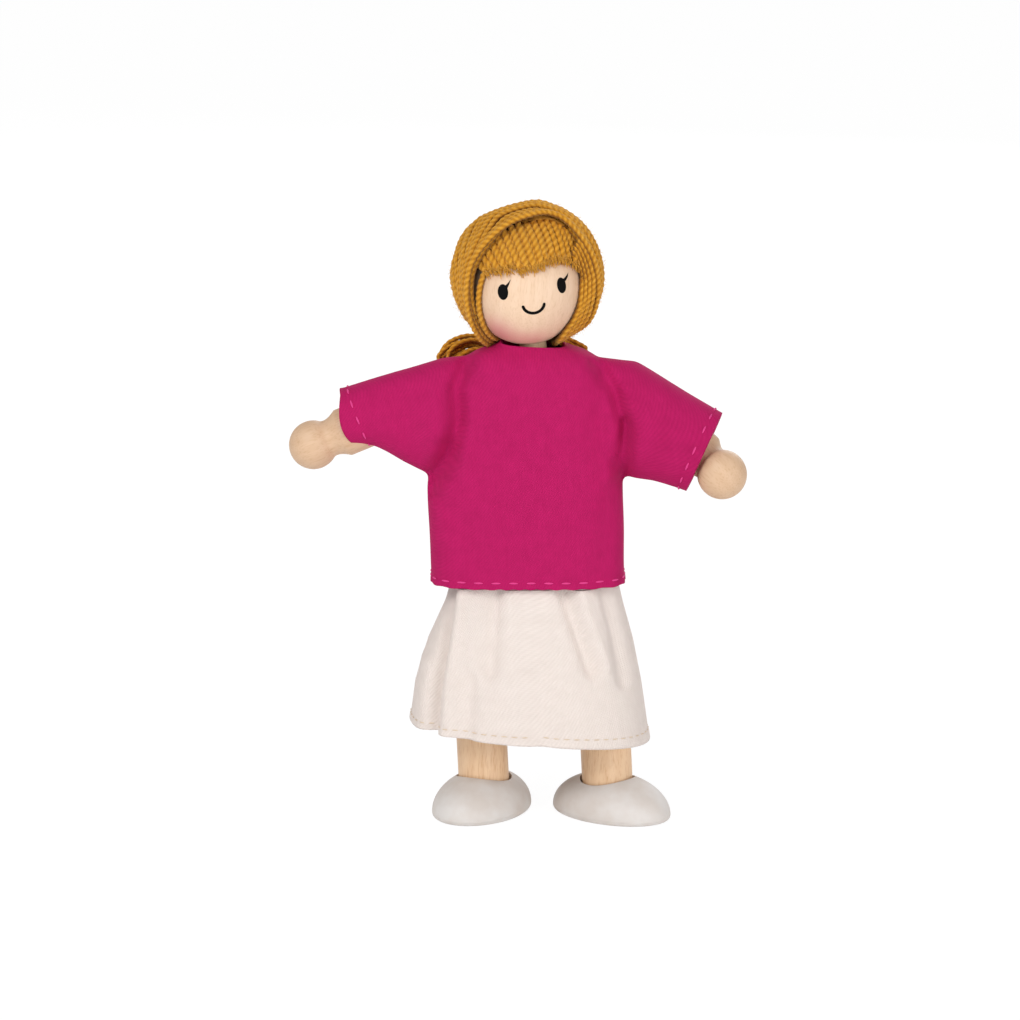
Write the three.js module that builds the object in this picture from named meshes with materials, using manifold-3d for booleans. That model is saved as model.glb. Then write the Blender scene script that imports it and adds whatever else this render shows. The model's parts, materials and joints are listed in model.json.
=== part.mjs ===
// Dollhouse figure: a pegged wooden doll with a yarn wig, a short-sleeved shirt and a gathered skirt.
// Millimetres, +Z up. The figure faces -Y, so its right side is at -X. It stands on its two soles at Z = 0.
import * as THREE from "three";
import { mergeVertices } from "three/addons/utils/BufferGeometryUtils.js";
import Module from "manifold-3d";

const wasm = await Module();
wasm.setup();

// Fits
const RUNNING_GAP = 0.3;
const WALL_CLEARANCE = 0.3;

// Torso block
const TORSO_TOP = 105.3;
const TORSO_HALF_DEPTH = 7.5;
const SHOULDER_HALF_WIDTH = 13.4;
const WAIST_HALF_WIDTH = 12.9;
const HIP_HALF_WIDTH = 16.7;
const TORSO_SQUARENESS = 4;

// Hips and legs
const HIP_HEIGHT = 48.5;
const LEG_SPACING = 27.9;
const LEG_RADIUS = 5.7;
const HIP_TONGUE = 4;
const HIP_TONGUE_OFFSET = 2.65;
const HIP_TONGUE_RADIUS = 5.4;
const HIP_AXLE_RADIUS = 1.25;
const HIP_BACK_STOP_DEG = 25;
const LEG_LEAN_DEG = 2.8;
const LEG_SWING_DEG = { right: 0, left: 3.5 };

// Feet
const FOOT_LENGTH = 30;
const FOOT_WIDTH = 20.6;
const FOOT_HEIGHT = 9.2;
const SOLE_EDGE = 0.9;
const FOOT_SOCKET_FLOOR = 3.6;
const FOOT_SOCKET_CLEARANCE = 0.6;
const FOOT_HEEL_SHIFT = 1.2;
const TOE_OUT_DEG = { right: 24, left: 49 };
const SCREW_HEAD_RADIUS = 2.6;
const SCREW_HEAD_HEIGHT = 1.1;
const SCREW_SHANK_RADIUS = 1.2;
const SCREW_LENGTH = 9;
const SCREW_SINK = 0.5;

// Shoulders and arms
const SHOULDER_DROP = 9.3;
const SHOULDER_SPACING = 42;
const ARM_RADIUS = 5.4;
const ARM_REACH = 31.2;
const HAND_RADIUS = 5.45;
const WRIST_RADIUS = 4.2;
const CUFF_RIDGE = 7.1;
const ARM_TONGUE = 4;
const SHOULDER_DOME = 5.5;
const SHOULDER_FLANGE_RADIUS = 5.2;
const SHOULDER_PEG_RADIUS = 3;
const SHOULDER_PEG_DEPTH = 7.2;
const SHOULDER_PIN_RADIUS = 1;
const KEEPER_PIN_RADIUS = 0.8;
const KEEPER_GROOVE_DEPTH = 1;
const KEEPER_PIN_REACH = 11.5;
const ARM_FORWARD_DEG = { right: 0, left: 52.7 };
const ARM_RAISE_DEG = { right: 67.3, left: 38.4 };

// Neck and head
const NECK_PIVOT_DEPTH = 6.3;
const NECK_RADIUS = 3;
const NECK_FOOT = 3;
const NECK_PIN_RADIUS = 1;
const NECK_TILT_RANGE_DEG = 12;
const HEAD_RADIUS = 12.55;
const HEAD_ABOVE_PIVOT = 20.5;
const HEAD_BORE_DEPTH = 9;
const HEAD_TILT_DEG = 6.8;
const HEAD_TURN_DEG = 6;

// Yarn wig
const HAIR_CENTRE = [0.5, 0.8, 2.6];
const HAIR_RADII = [17, 16.5, 16.9];
const HAIR_HEM = -11.5;
const FRINGE_THICKNESS = 1.6;
const FRINGE_LINE = 2.6;
const FACE_HALF_WIDTH = 13.2;
const FACE_OPENING_BACK = -1.5;
const PARTING_SLOPE_DEG = 12;
const TIE_WIRE_RADIUS = 0.7;
const TIE_INNER_RADIUS = 1.7;

// Clothes
const CLOTH = 0.8;
const SHIRT_HEM = 53;
const SHIRT_NECK_LIFT = 1.3;
const SKIRT_TOP = 68;
const SKIRT_HEM = 19.2;
const ELASTIC_HEIGHT = 4.2;
const ELASTIC_THICKNESS = 0.6;
const TAPE_WIDTH = 6;
const TAPE_LENGTH = 18;
const TAPE_THICKNESS = 0.7;
const TAPE_DROP = 6;
const TAPE_OFF_CENTRE = -2.5;

// Heights and lengths that follow from the sizes above
const SHOULDER_HEIGHT = TORSO_TOP - SHOULDER_DROP;
const NECK_PIVOT_HEIGHT = TORSO_TOP - NECK_PIVOT_DEPTH;
const LEG_LENGTH = HIP_HEIGHT - FOOT_SOCKET_FLOOR - RUNNING_GAP;
const SHIRT_NECK = TORSO_TOP + SHIRT_NECK_LIFT;
const TAPE_BOTTOM = SHOULDER_HEIGHT - TAPE_DROP - TAPE_LENGTH;

const rad = THREE.MathUtils.degToRad;
const vec = (x, y, z) => new THREE.Vector3(x, y, z);

// Materials
const material = (color, roughness, metalness = 0) =>
  new THREE.MeshStandardMaterial({ color, roughness, metalness });
const TURNED_WOOD = 0xebc8a5;
const LEG_WOOD = 0xdeb28c;
const YARN = 0xc88c1e;
const STEEL = 0xb9bcc0;

// Solids
function solidOf(geometry) {
  const bare = geometry.clone();
  bare.deleteAttribute("normal");
  bare.deleteAttribute("uv");
  const merged = mergeVertices(bare);
  const vertProperties = Float32Array.from(merged.attributes.position.array);
  const triVerts = Uint32Array.from(merged.index.array);
  return new wasm.Manifold(new wasm.Mesh({ numProp: 3, vertProperties, triVerts }));
}

function meshOf(name, solid, finish) {
  const found = solid.getMesh();
  const geometry = new THREE.BufferGeometry();
  geometry.setAttribute("position", new THREE.BufferAttribute(found.vertProperties, 3));
  geometry.setIndex(new THREE.BufferAttribute(found.triVerts, 1));
  const flat = geometry.toNonIndexed();
  flat.computeVertexNormals();
  const mesh = new THREE.Mesh(flat, finish);
  mesh.name = name;
  return mesh;
}

const joined = (solids) => solids.reduce((sum, solid) => sum.add(solid));

// A round rod along X, Y or Z between two coordinates on that axis. The pair places its centre line.
function rod(axis, radius, from, to, [first, second] = [0, 0], sides = 20) {
  const geometry = new THREE.CylinderGeometry(radius, radius, to - from, sides);
  const middle = (from + to) / 2;
  if (axis === "x") geometry.rotateZ(-Math.PI / 2).translate(middle, first, second);
  if (axis === "y") geometry.translate(first, middle, second);
  if (axis === "z") geometry.rotateX(Math.PI / 2).translate(first, second, middle);
  return solidOf(geometry);
}

function block([x0, x1], [y0, y1], [z0, z1]) {
  const geometry = new THREE.BoxGeometry(x1 - x0, y1 - y0, z1 - z0);
  geometry.translate((x0 + x1) / 2, (y0 + y1) / 2, (z0 + z1) / 2);
  return solidOf(geometry);
}

function turned(profile, sides = 24) {
  const points = profile.map(([radius, z]) => new THREE.Vector2(radius, z));
  return solidOf(new THREE.LatheGeometry(points, sides).rotateX(Math.PI / 2));
}

function ball(radii, centre, across = 24, down = 16) {
  const geometry = new THREE.SphereGeometry(1, across, down).rotateX(Math.PI / 2);
  geometry.scale(...radii).translate(...centre);
  return solidOf(geometry);
}

// A flat outline in (Y, Z), given thickness along X.
function plateAlongX(shape, [x0, x1], curveSegments = 16) {
  const geometry = new THREE.ExtrudeGeometry(shape, { depth: x1 - x0, bevelEnabled: false, curveSegments });
  geometry.rotateX(Math.PI / 2).rotateZ(Math.PI / 2).translate(x0, 0, 0);
  return solidOf(geometry);
}

// A flat outline in (X, Z), given thickness along Y.
function plateAlongY(shape, [y0, y1], curveSegments = 16) {
  const geometry = new THREE.ExtrudeGeometry(shape, { depth: y1 - y0, bevelEnabled: false, curveSegments });
  geometry.rotateX(Math.PI / 2).translate(0, y1, 0);
  return solidOf(geometry);
}

// A hinge tongue's outline: a round end about the origin, and a straight root that runs to `root` below it.
function tongueOutline(radius, root) {
  const shape = new THREE.Shape();
  shape.moveTo(radius, root);
  shape.lineTo(radius, 0);
  shape.absarc(0, 0, radius, 0, Math.PI, false);
  shape.lineTo(-radius, root);
  return shape;
}

// A closed skin through rings of equal count, with a fan cap on both ends.
function loft(rings) {
  const count = rings[0].length;
  const points = rings.flat();
  const faces = [];
  for (let ring = 0; ring < rings.length - 1; ring++) {
    for (let i = 0; i < count; i++) {
      const here = ring * count + i;
      const next = ring * count + ((i + 1) % count);
      faces.push(here, next, next + count, here, next + count, here + count);
    }
  }
  [0, rings.length - 1].forEach((ring) => {
    points.push(centreOf(rings[ring]));
    const hub = points.length - 1;
    for (let i = 0; i < count; i++) {
      const here = ring * count + i;
      const next = ring * count + ((i + 1) % count);
      faces.push(...(ring === 0 ? [hub, next, here] : [hub, here, next]));
    }
  });
  const geometry = new THREE.BufferGeometry().setFromPoints(points);
  geometry.setIndex(signedVolume(points, faces) < 0 ? faces.reverse() : faces);
  return solidOf(geometry);
}

function centreOf(ring) {
  return ring.reduce((sum, point) => sum.add(point), vec(0, 0, 0)).divideScalar(ring.length);
}

function signedVolume(points, faces) {
  let sum = 0;
  for (let i = 0; i < faces.length; i += 3) {
    const [a, b, c] = [points[faces[i]], points[faces[i + 1]], points[faces[i + 2]]];
    sum += a.dot(b.clone().cross(c)) / 6;
  }
  return sum;
}

const squareCos = (angle, squareness) =>
  Math.sign(Math.cos(angle)) * Math.abs(Math.cos(angle)) ** (2 / squareness);
const squareSin = (angle, squareness) =>
  Math.sign(Math.sin(angle)) * Math.abs(Math.sin(angle)) ** (2 / squareness);

// A level ring between a left, right, front and back reach, with squared-off corners.
// `fold` gives how far the cloth stands out at an angle round the ring, and `drop` how far its edge hangs.
function levelRing({ z, left, right, front, back, square = 3, fold = () => 0, drop = () => 0 }, count = 24) {
  const middle = vec((left + right) / 2, (front + back) / 2, z);
  return Array.from({ length: count }, (_, i) => {
    const angle = (i / count) * 2 * Math.PI;
    const out = vec(squareCos(angle, square), squareSin(angle, square), 0);
    const reach = vec((right - left) / 2 * out.x, (back - front) / 2 * out.y, drop(angle));
    return middle.clone().add(reach).addScaledVector(out.normalize(), fold(angle));
  });
}

// An oval ring from its top point to its bottom point, with a half thickness across them.
function ovalRing({ top, bottom, along, half, square = 2 }, count = 22) {
  const middle = top.clone().add(bottom).multiplyScalar(0.5);
  const up = top.clone().sub(bottom).multiplyScalar(0.5);
  const side = up.clone().cross(along).normalize().multiplyScalar(half);
  return Array.from({ length: count }, (_, i) => {
    const angle = (i / count) * 2 * Math.PI;
    const onUp = middle.clone().addScaledVector(up, squareCos(angle, square));
    return onUp.addScaledVector(side, squareSin(angle, square));
  });
}

// The same ring drawn in by a wall's thickness, in its own plane.
function insetRing(ring, wall) {
  const centre = centreOf(ring);
  const count = ring.length;
  const normal = vec(0, 0, 0);
  ring.forEach((point, i) => {
    const from = point.clone().sub(centre);
    normal.add(from.cross(ring[(i + 1) % count].clone().sub(centre)));
  });
  normal.normalize();
  return ring.map((point, i) => {
    const tangent = ring[(i + 1) % count].clone().sub(ring[(i + count - 1) % count]);
    return point.clone().addScaledVector(normal.clone().cross(tangent).normalize(), wall);
  });
}

// The hollow of a sleeve-like skin: its rings drawn in, and run on past the ends that stay open.
function hollowRings(rings, wall, openStart, openEnd) {
  const inner = rings.map((ring) => insetRing(ring, wall));
  const runOn = (ring, neighbour) => {
    const step = centreOf(ring).sub(centreOf(neighbour)).normalize().multiplyScalar(3);
    return ring.map((point) => point.clone().add(step));
  };
  if (openStart) inner.unshift(runOn(inner[0], inner[1]));
  if (openEnd) inner.push(runOn(inner[inner.length - 1], inner[inner.length - 2]));
  return inner;
}

// Torso block: a shaped wooden body, slotted for neck and hips, bored for both shoulder pegs
const hipEndRadius = TORSO_HALF_DEPTH;
const torsoBottom = HIP_HEIGHT - hipEndRadius;
const tongueCentre = LEG_SPACING / 2 - HIP_TONGUE_OFFSET;
const leanPlay = (HIP_TONGUE_RADIUS + hipEndRadius) / 2 * Math.tan(rad(LEG_LEAN_DEG));
const hipSlotHalf = HIP_TONGUE / 2 + leanPlay + RUNNING_GAP;
const neckSwing = (TORSO_TOP - NECK_PIVOT_HEIGHT) * Math.tan(rad(NECK_TILT_RANGE_DEG));
const neckSlotHalf = NECK_RADIUS / Math.cos(rad(NECK_TILT_RANGE_DEG)) + neckSwing + RUNNING_GAP;
const keeperOffset = (pegRadius) => pegRadius - KEEPER_GROOVE_DEPTH + RUNNING_GAP + KEEPER_PIN_RADIUS;
const grooveHalf = KEEPER_PIN_RADIUS + RUNNING_GAP;
const flangeGap = RUNNING_GAP;
const shoulderGroove = SHOULDER_HALF_WIDTH - SHOULDER_PEG_DEPTH / 2;

function torsoSideOutline() {
  const shape = new THREE.Shape();
  const stop = rad(HIP_BACK_STOP_DEG);
  const stopDrop = hipEndRadius * (1 - Math.sin(stop)) / Math.cos(stop);
  shape.moveTo(-TORSO_HALF_DEPTH - 1, TORSO_TOP + 1);
  shape.lineTo(-TORSO_HALF_DEPTH - 1, HIP_HEIGHT);
  shape.lineTo(-hipEndRadius, HIP_HEIGHT);
  shape.absarc(0, HIP_HEIGHT, hipEndRadius, Math.PI, Math.PI * 1.5 + stop, false);
  shape.lineTo(TORSO_HALF_DEPTH, HIP_HEIGHT - stopDrop);
  shape.lineTo(TORSO_HALF_DEPTH + 1, HIP_HEIGHT);
  shape.lineTo(TORSO_HALF_DEPTH + 1, TORSO_TOP + 1);
  return shape;
}

const torsoLevels = [
  [torsoBottom, HIP_HALF_WIDTH - 0.6, 1],
  [torsoBottom + 3, HIP_HALF_WIDTH, 1],
  [HIP_HEIGHT + 5, HIP_HALF_WIDTH - 0.3, 1],
  [68, WAIST_HALF_WIDTH + 0.6, 1],
  [80, WAIST_HALF_WIDTH, 1],
  [SHOULDER_HEIGHT - 5, SHOULDER_HALF_WIDTH, 1],
  [SHOULDER_HEIGHT + 4, SHOULDER_HALF_WIDTH, 1],
  [TORSO_TOP - 1.8, SHOULDER_HALF_WIDTH - 2.6, 0.93],
  [TORSO_TOP, SHOULDER_HALF_WIDTH - 5.4, 0.66],
];

function torsoRings() {
  return torsoLevels.map(([z, half, depth]) => {
    const deep = TORSO_HALF_DEPTH * depth;
    return levelRing({ z, left: -half, right: half, front: -deep, back: deep, square: TORSO_SQUARENESS });
  });
}

function torso() {
  const cuts = [
    block([-neckSlotHalf, neckSlotHalf], [-NECK_RADIUS - RUNNING_GAP, NECK_RADIUS + RUNNING_GAP],
      [NECK_PIVOT_HEIGHT - NECK_FOOT - 2 * RUNNING_GAP, TORSO_TOP + 1]),
    rod("y", NECK_PIN_RADIUS + RUNNING_GAP, -20, 20, [0, NECK_PIVOT_HEIGHT]),
    rod("x", HIP_AXLE_RADIUS + RUNNING_GAP, -30, 30, [0, HIP_HEIGHT]),
  ];
  for (const side of [-1, 1]) {
    const slot = [side * tongueCentre - hipSlotHalf, side * tongueCentre + hipSlotHalf];
    const bore = [side * (SHOULDER_HALF_WIDTH - SHOULDER_PEG_DEPTH - RUNNING_GAP), side * 20];
    const keeperZ = SHOULDER_HEIGHT - keeperOffset(SHOULDER_PEG_RADIUS);
    cuts.push(
      block(slot, [-20, 20], [torsoBottom - 5, HIP_HEIGHT + HIP_TONGUE_RADIUS + RUNNING_GAP]),
      rod("x", SHOULDER_PEG_RADIUS + RUNNING_GAP, Math.min(...bore), Math.max(...bore), [0, SHOULDER_HEIGHT]),
      rod("y", KEEPER_PIN_RADIUS + RUNNING_GAP, TORSO_HALF_DEPTH - KEEPER_PIN_REACH - RUNNING_GAP, 20,
        [side * shoulderGroove, keeperZ]),
    );
  }
  const body = loft(torsoRings()).intersect(plateAlongX(torsoSideOutline(), [-20, 20], 20));
  return meshOf("torso", body.subtract(joined(cuts)), material(TURNED_WOOD, 0.6));
}

// Turned pegs that swivel: a groove round the peg, and a keeper pin pressed across it
function groove(axis, pegRadius, at, width, centre) {
  const outer = rod(axis, pegRadius + 1, at - width, at + width, centre);
  return outer.subtract(rod(axis, pegRadius - KEEPER_GROOVE_DEPTH, at - width - 1, at + width + 1, centre));
}

const armPivotX = SHOULDER_SPACING / 2;
const flangeFace = ARM_RADIUS + RUNNING_GAP;
const flangeBack = armPivotX - SHOULDER_HALF_WIDTH - flangeGap;

// Shoulder peg, drawn with its outer side along +X and its hinge at the origin
function shoulderPeg(name) {
  const pegEnd = SHOULDER_HALF_WIDTH - SHOULDER_PEG_DEPTH - armPivotX;
  const tongueRadius = ARM_RADIUS - 0.4;
  const outline = tongueOutline(tongueRadius, -flangeFace - 0.4);
  const tongue = plateAlongY(outline, [-ARM_TONGUE / 2, ARM_TONGUE / 2]).rotate([0, 90, 0]);
  const body = joined([
    rod("x", SHOULDER_FLANGE_RADIUS, -flangeBack, -flangeFace),
    rod("x", SHOULDER_PEG_RADIUS, pegEnd, -flangeBack + 0.2),
    tongue,
  ]);
  const cuts = joined([
    groove("x", SHOULDER_PEG_RADIUS, shoulderGroove - armPivotX, grooveHalf, [0, 0]),
    rod("y", SHOULDER_PIN_RADIUS + RUNNING_GAP, -10, 10),
  ]);
  return meshOf(name, body.subtract(cuts), material(TURNED_WOOD, 0.6));
}

// Arm with its hand, turned in one piece: forked end, plain shaft, cuff ridge, wrist cove and ball hand
function arm(name) {
  const ridge = -(ARM_REACH - CUFF_RIDGE);
  const joinDrop = 2.9;
  const joinRadius = Math.sqrt(HAND_RADIUS ** 2 - joinDrop ** 2);
  const wrist = new THREE.QuadraticBezierCurve(
    new THREE.Vector2(ARM_RADIUS, ridge),
    new THREE.Vector2(2 * WRIST_RADIUS - (ARM_RADIUS + joinRadius) / 2, ridge - joinDrop),
    new THREE.Vector2(joinRadius, -ARM_REACH + joinDrop),
  );
  const startAngle = Math.asin(joinDrop / HAND_RADIUS);
  const steps = 9;
  const hand = Array.from({ length: steps }, (_, i) => {
    const angle = startAngle - ((i + 1) / steps) * (startAngle + Math.PI / 2);
    return [i === steps - 1 ? 0 : HAND_RADIUS * Math.cos(angle), -ARM_REACH + HAND_RADIUS * Math.sin(angle)];
  });
  const profile = [
    [0, ARM_RADIUS],
    [ARM_RADIUS, ARM_RADIUS],
    ...wrist.getPoints(5).map((point) => [point.x, point.y]),
    ...hand,
  ];
  const shaft = turned(profile.reverse());
  const dome = ball([SHOULDER_DOME, SHOULDER_DOME, SHOULDER_DOME], [0, 0, 0]);
  const rounded = rod("y", ARM_RADIUS, -10, 10, [0, 0], 32).intersect(dome)
    .add(block([-10, 10], [-10, 10], [-2 * ARM_REACH, 0]));
  const slotHalf = ARM_TONGUE / 2 + RUNNING_GAP;
  const cuts = joined([
    block([-10, 10], [-slotHalf, slotHalf], [-ARM_RADIUS - 0.2, 10]),
    rod("y", SHOULDER_PIN_RADIUS + RUNNING_GAP, -10, 10),
  ]);
  return meshOf(name, shaft.intersect(rounded).subtract(cuts), material(TURNED_WOOD, 0.55));
}

// Leg: a dowel whose top is cut down to an offset hinge tongue, with a pilot hole for the foot screw
function leg(name, side) {
  const chamfer = 0.8;
  const shoulder = -hipEndRadius - RUNNING_GAP;
  const dowel = turned([
    [0, -LEG_LENGTH],
    [LEG_RADIUS, -LEG_LENGTH],
    [LEG_RADIUS, shoulder - chamfer],
    [LEG_RADIUS - chamfer, shoulder],
    [0, shoulder],
  ]);
  const tongueX = -side * HIP_TONGUE_OFFSET;
  const tongue = plateAlongX(tongueOutline(HIP_TONGUE_RADIUS, shoulder - 1),
    [tongueX - HIP_TONGUE / 2, tongueX + HIP_TONGUE / 2]);
  const stock = rod("z", LEG_RADIUS, shoulder - 2, LEG_RADIUS);
  const lean = rad(LEG_LEAN_DEG);
  const pinPlay = HIP_TONGUE / 2 * Math.tan(lean) + HIP_TONGUE_OFFSET * Math.sin(lean);
  const cuts = joined([
    rod("x", HIP_AXLE_RADIUS + RUNNING_GAP + pinPlay, -10, 10),
    rod("z", SCREW_SHANK_RADIUS + RUNNING_GAP, -LEG_LENGTH - 1, -LEG_LENGTH + SCREW_LENGTH),
  ]);
  const body = dowel.add(tongue.intersect(stock)).subtract(cuts);
  return meshOf(name, body, material(LEG_WOOD, 0.55));
}

const screwHeadBottom = -HIP_HEIGHT + SCREW_SINK;

function footScrew(name) {
  const headTop = screwHeadBottom + SCREW_HEAD_HEIGHT;
  const tip = headTop + SCREW_LENGTH;
  const screwHead = rod("z", SCREW_HEAD_RADIUS, screwHeadBottom, headTop);
  const body = screwHead.add(rod("z", SCREW_SHANK_RADIUS, headTop - 0.2, tip));
  const slot = block([-5, 5], [-0.35, 0.35], [screwHeadBottom - 1, screwHeadBottom + 0.4]);
  return meshOf(name, body.subtract(slot), material(STEEL, 0.35, 1));
}

// Foot: a half egg with a flat sole, a loose socket for the leg and a counterbore for the screw
const legSlope = (swing) => Math.hypot(Math.tan(rad(LEG_LEAN_DEG)), Math.tan(rad(swing)));
const worstSlope = Math.max(legSlope(LEG_SWING_DEG.right), legSlope(LEG_SWING_DEG.left));
const socketMiddle = (FOOT_SOCKET_FLOOR + FOOT_HEIGHT) / 2;

function foot(name) {
  const half = FOOT_LENGTH / 2;
  const edge = SOLE_EDGE * 0.3;
  const profile = [[0, 0], [half - SOLE_EDGE, 0], [half - edge, edge], [half, SOLE_EDGE]];
  const steps = 9;
  for (let i = 1; i <= steps; i++) {
    const angle = (i / steps) * Math.PI / 2;
    const radius = i === steps ? 0 : half * Math.cos(angle);
    profile.push([radius, SOLE_EDGE + (FOOT_HEIGHT - SOLE_EDGE) * Math.sin(angle)]);
  }
  const points = profile.map(([radius, z]) => new THREE.Vector2(radius, z));
  const geometry = new THREE.LatheGeometry(points, 28).rotateX(Math.PI / 2);
  geometry.scale(FOOT_WIDTH / FOOT_LENGTH, 1, 1).translate(0, -FOOT_HEEL_SHIFT, 0);
  const screwPlay = (socketMiddle - SCREW_SINK) * worstSlope;
  const counterboreTop = SCREW_SINK + SCREW_HEAD_HEIGHT + 2 * RUNNING_GAP;
  const cuts = joined([
    rod("z", LEG_RADIUS + FOOT_SOCKET_CLEARANCE, FOOT_SOCKET_FLOOR, 20),
    rod("z", SCREW_SHANK_RADIUS + screwPlay + RUNNING_GAP, -1, 20),
    rod("z", SCREW_HEAD_RADIUS + screwPlay + RUNNING_GAP, -1, counterboreTop),
  ]);
  return meshOf(name, solidOf(geometry).subtract(cuts), material(0xddd6d1, 0.5));
}

// Neck peg: pinned in the torso so that it tilts, with a groove for the head's keeper pin
const headBoreTop = -HEAD_RADIUS + HEAD_BORE_DEPTH;
const neckTop = HEAD_ABOVE_PIVOT + headBoreTop - RUNNING_GAP;
const headGroove = HEAD_ABOVE_PIVOT - HEAD_RADIUS + HEAD_BORE_DEPTH / 2;
const headKeeperAt = [keeperOffset(NECK_RADIUS), headGroove - HEAD_ABOVE_PIVOT];
const keeperFromCentre = Math.hypot(...headKeeperAt) + KEEPER_PIN_RADIUS;
const headKeeperEnd = Math.sqrt(HEAD_RADIUS ** 2 - keeperFromCentre ** 2) - RUNNING_GAP;
const headKeeperStart = headKeeperEnd - KEEPER_PIN_REACH;

function neckPeg() {
  const stock = rod("z", NECK_RADIUS, -NECK_FOOT, neckTop);
  const rounded = joined([rod("y", NECK_FOOT, -10, 10), block([-10, 10], [-10, 10], [0, 40])]);
  const cuts = joined([
    rod("y", NECK_PIN_RADIUS + RUNNING_GAP, -10, 10),
    groove("z", NECK_RADIUS, headGroove, grooveHalf, [0, 0]),
  ]);
  return meshOf("neck_peg", stock.intersect(rounded).subtract(cuts), material(TURNED_WOOD, 0.6));
}

function head() {
  const cuts = joined([
    rod("z", NECK_RADIUS + RUNNING_GAP, -HEAD_RADIUS - 1, headBoreTop),
    rod("y", KEEPER_PIN_RADIUS + RUNNING_GAP, headKeeperStart, 20, headKeeperAt),
  ]);
  const body = ball([HEAD_RADIUS, HEAD_RADIUS, HEAD_RADIUS], [0, 0, 0], 32, 20);
  return meshOf("head", body.subtract(cuts), material(TURNED_WOOD, 0.5));
}

// Wig: a wrapped band of yarn that frames the face, a cut fringe under it, and a low tied tail
const archPoints = [
  [-11.4, 4.2], [-9.3, 7.8], [-5.5, 11.3], [-1.7, 13.5], [2.6, 14.7],
  [6, 14.9], [9, 13.6], [11.4, 11], [13, 8],
];

function archShape(inset, floor) {
  const shape = new THREE.Shape();
  const middle = [2, 3];
  const points = archPoints.map(([x, z]) => {
    const from = new THREE.Vector2(x - middle[0], z - middle[1]);
    from.setLength(from.length() - inset);
    return new THREE.Vector2(middle[0] + from.x, middle[1] + from.y);
  });
  const low = FACE_HALF_WIDTH - inset;
  shape.moveTo(-low, floor);
  shape.lineTo(-low, points[0].y - 1);
  shape.splineThru(points);
  shape.lineTo(low, floor);
  return shape;
}

function slopedPlate(shape, range) {
  return plateAlongY(shape, range, 3).rotate([-PARTING_SLOPE_DEG, 0, 0]);
}

function hairWrap() {
  const scalp = HEAD_RADIUS + WALL_CLEARANCE;
  const cuts = joined([
    ball([scalp, scalp, scalp], [0, 0, 0]),
    slopedPlate(archShape(0, -30), [-40, FACE_OPENING_BACK]),
    block([-30, 30], [-30, 30], [-40, HAIR_HEM]),
    rod("z", NECK_RADIUS + 2, -30, 0),
    block([-30, 30], [-30, FACE_OPENING_BACK + 2], [-40, HAIR_HEM + 3]),
  ]);
  return meshOf("hair_wrap", ball(HAIR_RADII, HAIR_CENTRE).subtract(cuts), material(YARN, 0.9));
}

function hairFringe() {
  const scalp = HEAD_RADIUS + WALL_CLEARANCE;
  const outer = scalp + FRINGE_THICKNESS;
  const band = ball([outer, outer, outer], [0, 0, 0]).subtract(ball([scalp, scalp, scalp], [0, 0, 0]));
  const region = slopedPlate(archShape(0.4, FRINGE_LINE), [-40, FACE_OPENING_BACK - 0.4]);
  return meshOf("hair_fringe", band.intersect(region), material(YARN, 0.9));
}

const tieCentre = vec(-6.2, 13, -14.6);
const tailPath = [
  [vec(-3.6, 10.6, HAIR_HEM - RUNNING_GAP - 0.1), 1.3],
  [vec(-4.8, 12, -13.4), TIE_INNER_RADIUS - RUNNING_GAP],
  [tieCentre, TIE_INNER_RADIUS - RUNNING_GAP],
  [vec(-8, 13.6, -14.8), 1.8],
  [vec(-11, 13.8, -13.8), 2.6],
  [vec(-15, 13.6, -13.2), 2.9],
  [vec(-19, 12.8, -13.8), 2],
  [vec(-20.6, 12.2, -14.4), 1],
];

function tubeRings(path, count = 12) {
  return path.map(([point, radius], i) => {
    const before = path[Math.max(i - 1, 0)][0];
    const after = path[Math.min(i + 1, path.length - 1)][0];
    const along = after.clone().sub(before).normalize();
    const side = along.clone().cross(vec(0, 1, 0)).normalize();
    const top = point.clone().addScaledVector(side, radius);
    const bottom = point.clone().addScaledVector(side, -radius);
    return ovalRing({ top, bottom, along, half: radius }, count);
  });
}

function ponytail() {
  return meshOf("ponytail", loft(tubeRings(tailPath)), material(YARN, 0.9));
}

function hairTie() {
  const around = tailPath[3][0].clone().sub(tailPath[1][0]).normalize();
  const ring = new THREE.TorusGeometry(TIE_INNER_RADIUS + TIE_WIRE_RADIUS, TIE_WIRE_RADIUS, 8, 18);
  const turn = new THREE.Quaternion().setFromUnitVectors(vec(0, 0, 1), around);
  ring.applyQuaternion(turn).translate(...tieCentre.toArray());
  return meshOf("hair_tie", solidOf(ring), material(0x3a3a3e, 0.7));
}

// Shirt: front and back cut in one with the sleeves, hanging loose and pulled towards the raised right arm
const shirtHeight = (share) => SHIRT_HEM + share * (SHOULDER_HEIGHT - SHIRT_HEM);
const shirtLevels = [
  { z: SHIRT_HEM, left: -23.3, right: 19.4, front: -11.7, back: 12.3 },
  { z: shirtHeight(0.256), left: -23.9, right: 19.3, front: -11.3, back: 12.1 },
  { z: shirtHeight(0.512), left: -24.2, right: 19, front: -10.8, back: 11.9 },
  { z: shirtHeight(0.814), left: -22.5, right: 18.6, front: -10.2, back: 11.4 },
  { z: SHOULDER_HEIGHT, left: -19.5, right: 18, front: -9.6, back: 10.4 },
  { z: TORSO_TOP - 3.3, left: -16.4, right: 15.2, front: -9, back: 9.3 },
  { z: TORSO_TOP - 0.9, left: -15.4, right: 11, front: -8.1, back: 8.1 },
  { z: TORSO_TOP + 0.5, left: -14.2, right: 8, front: -6.4, back: 6.4 },
  { z: SHIRT_NECK, left: -12.6, right: 6.4, front: -4.6, back: 4.6 },
];

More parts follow.
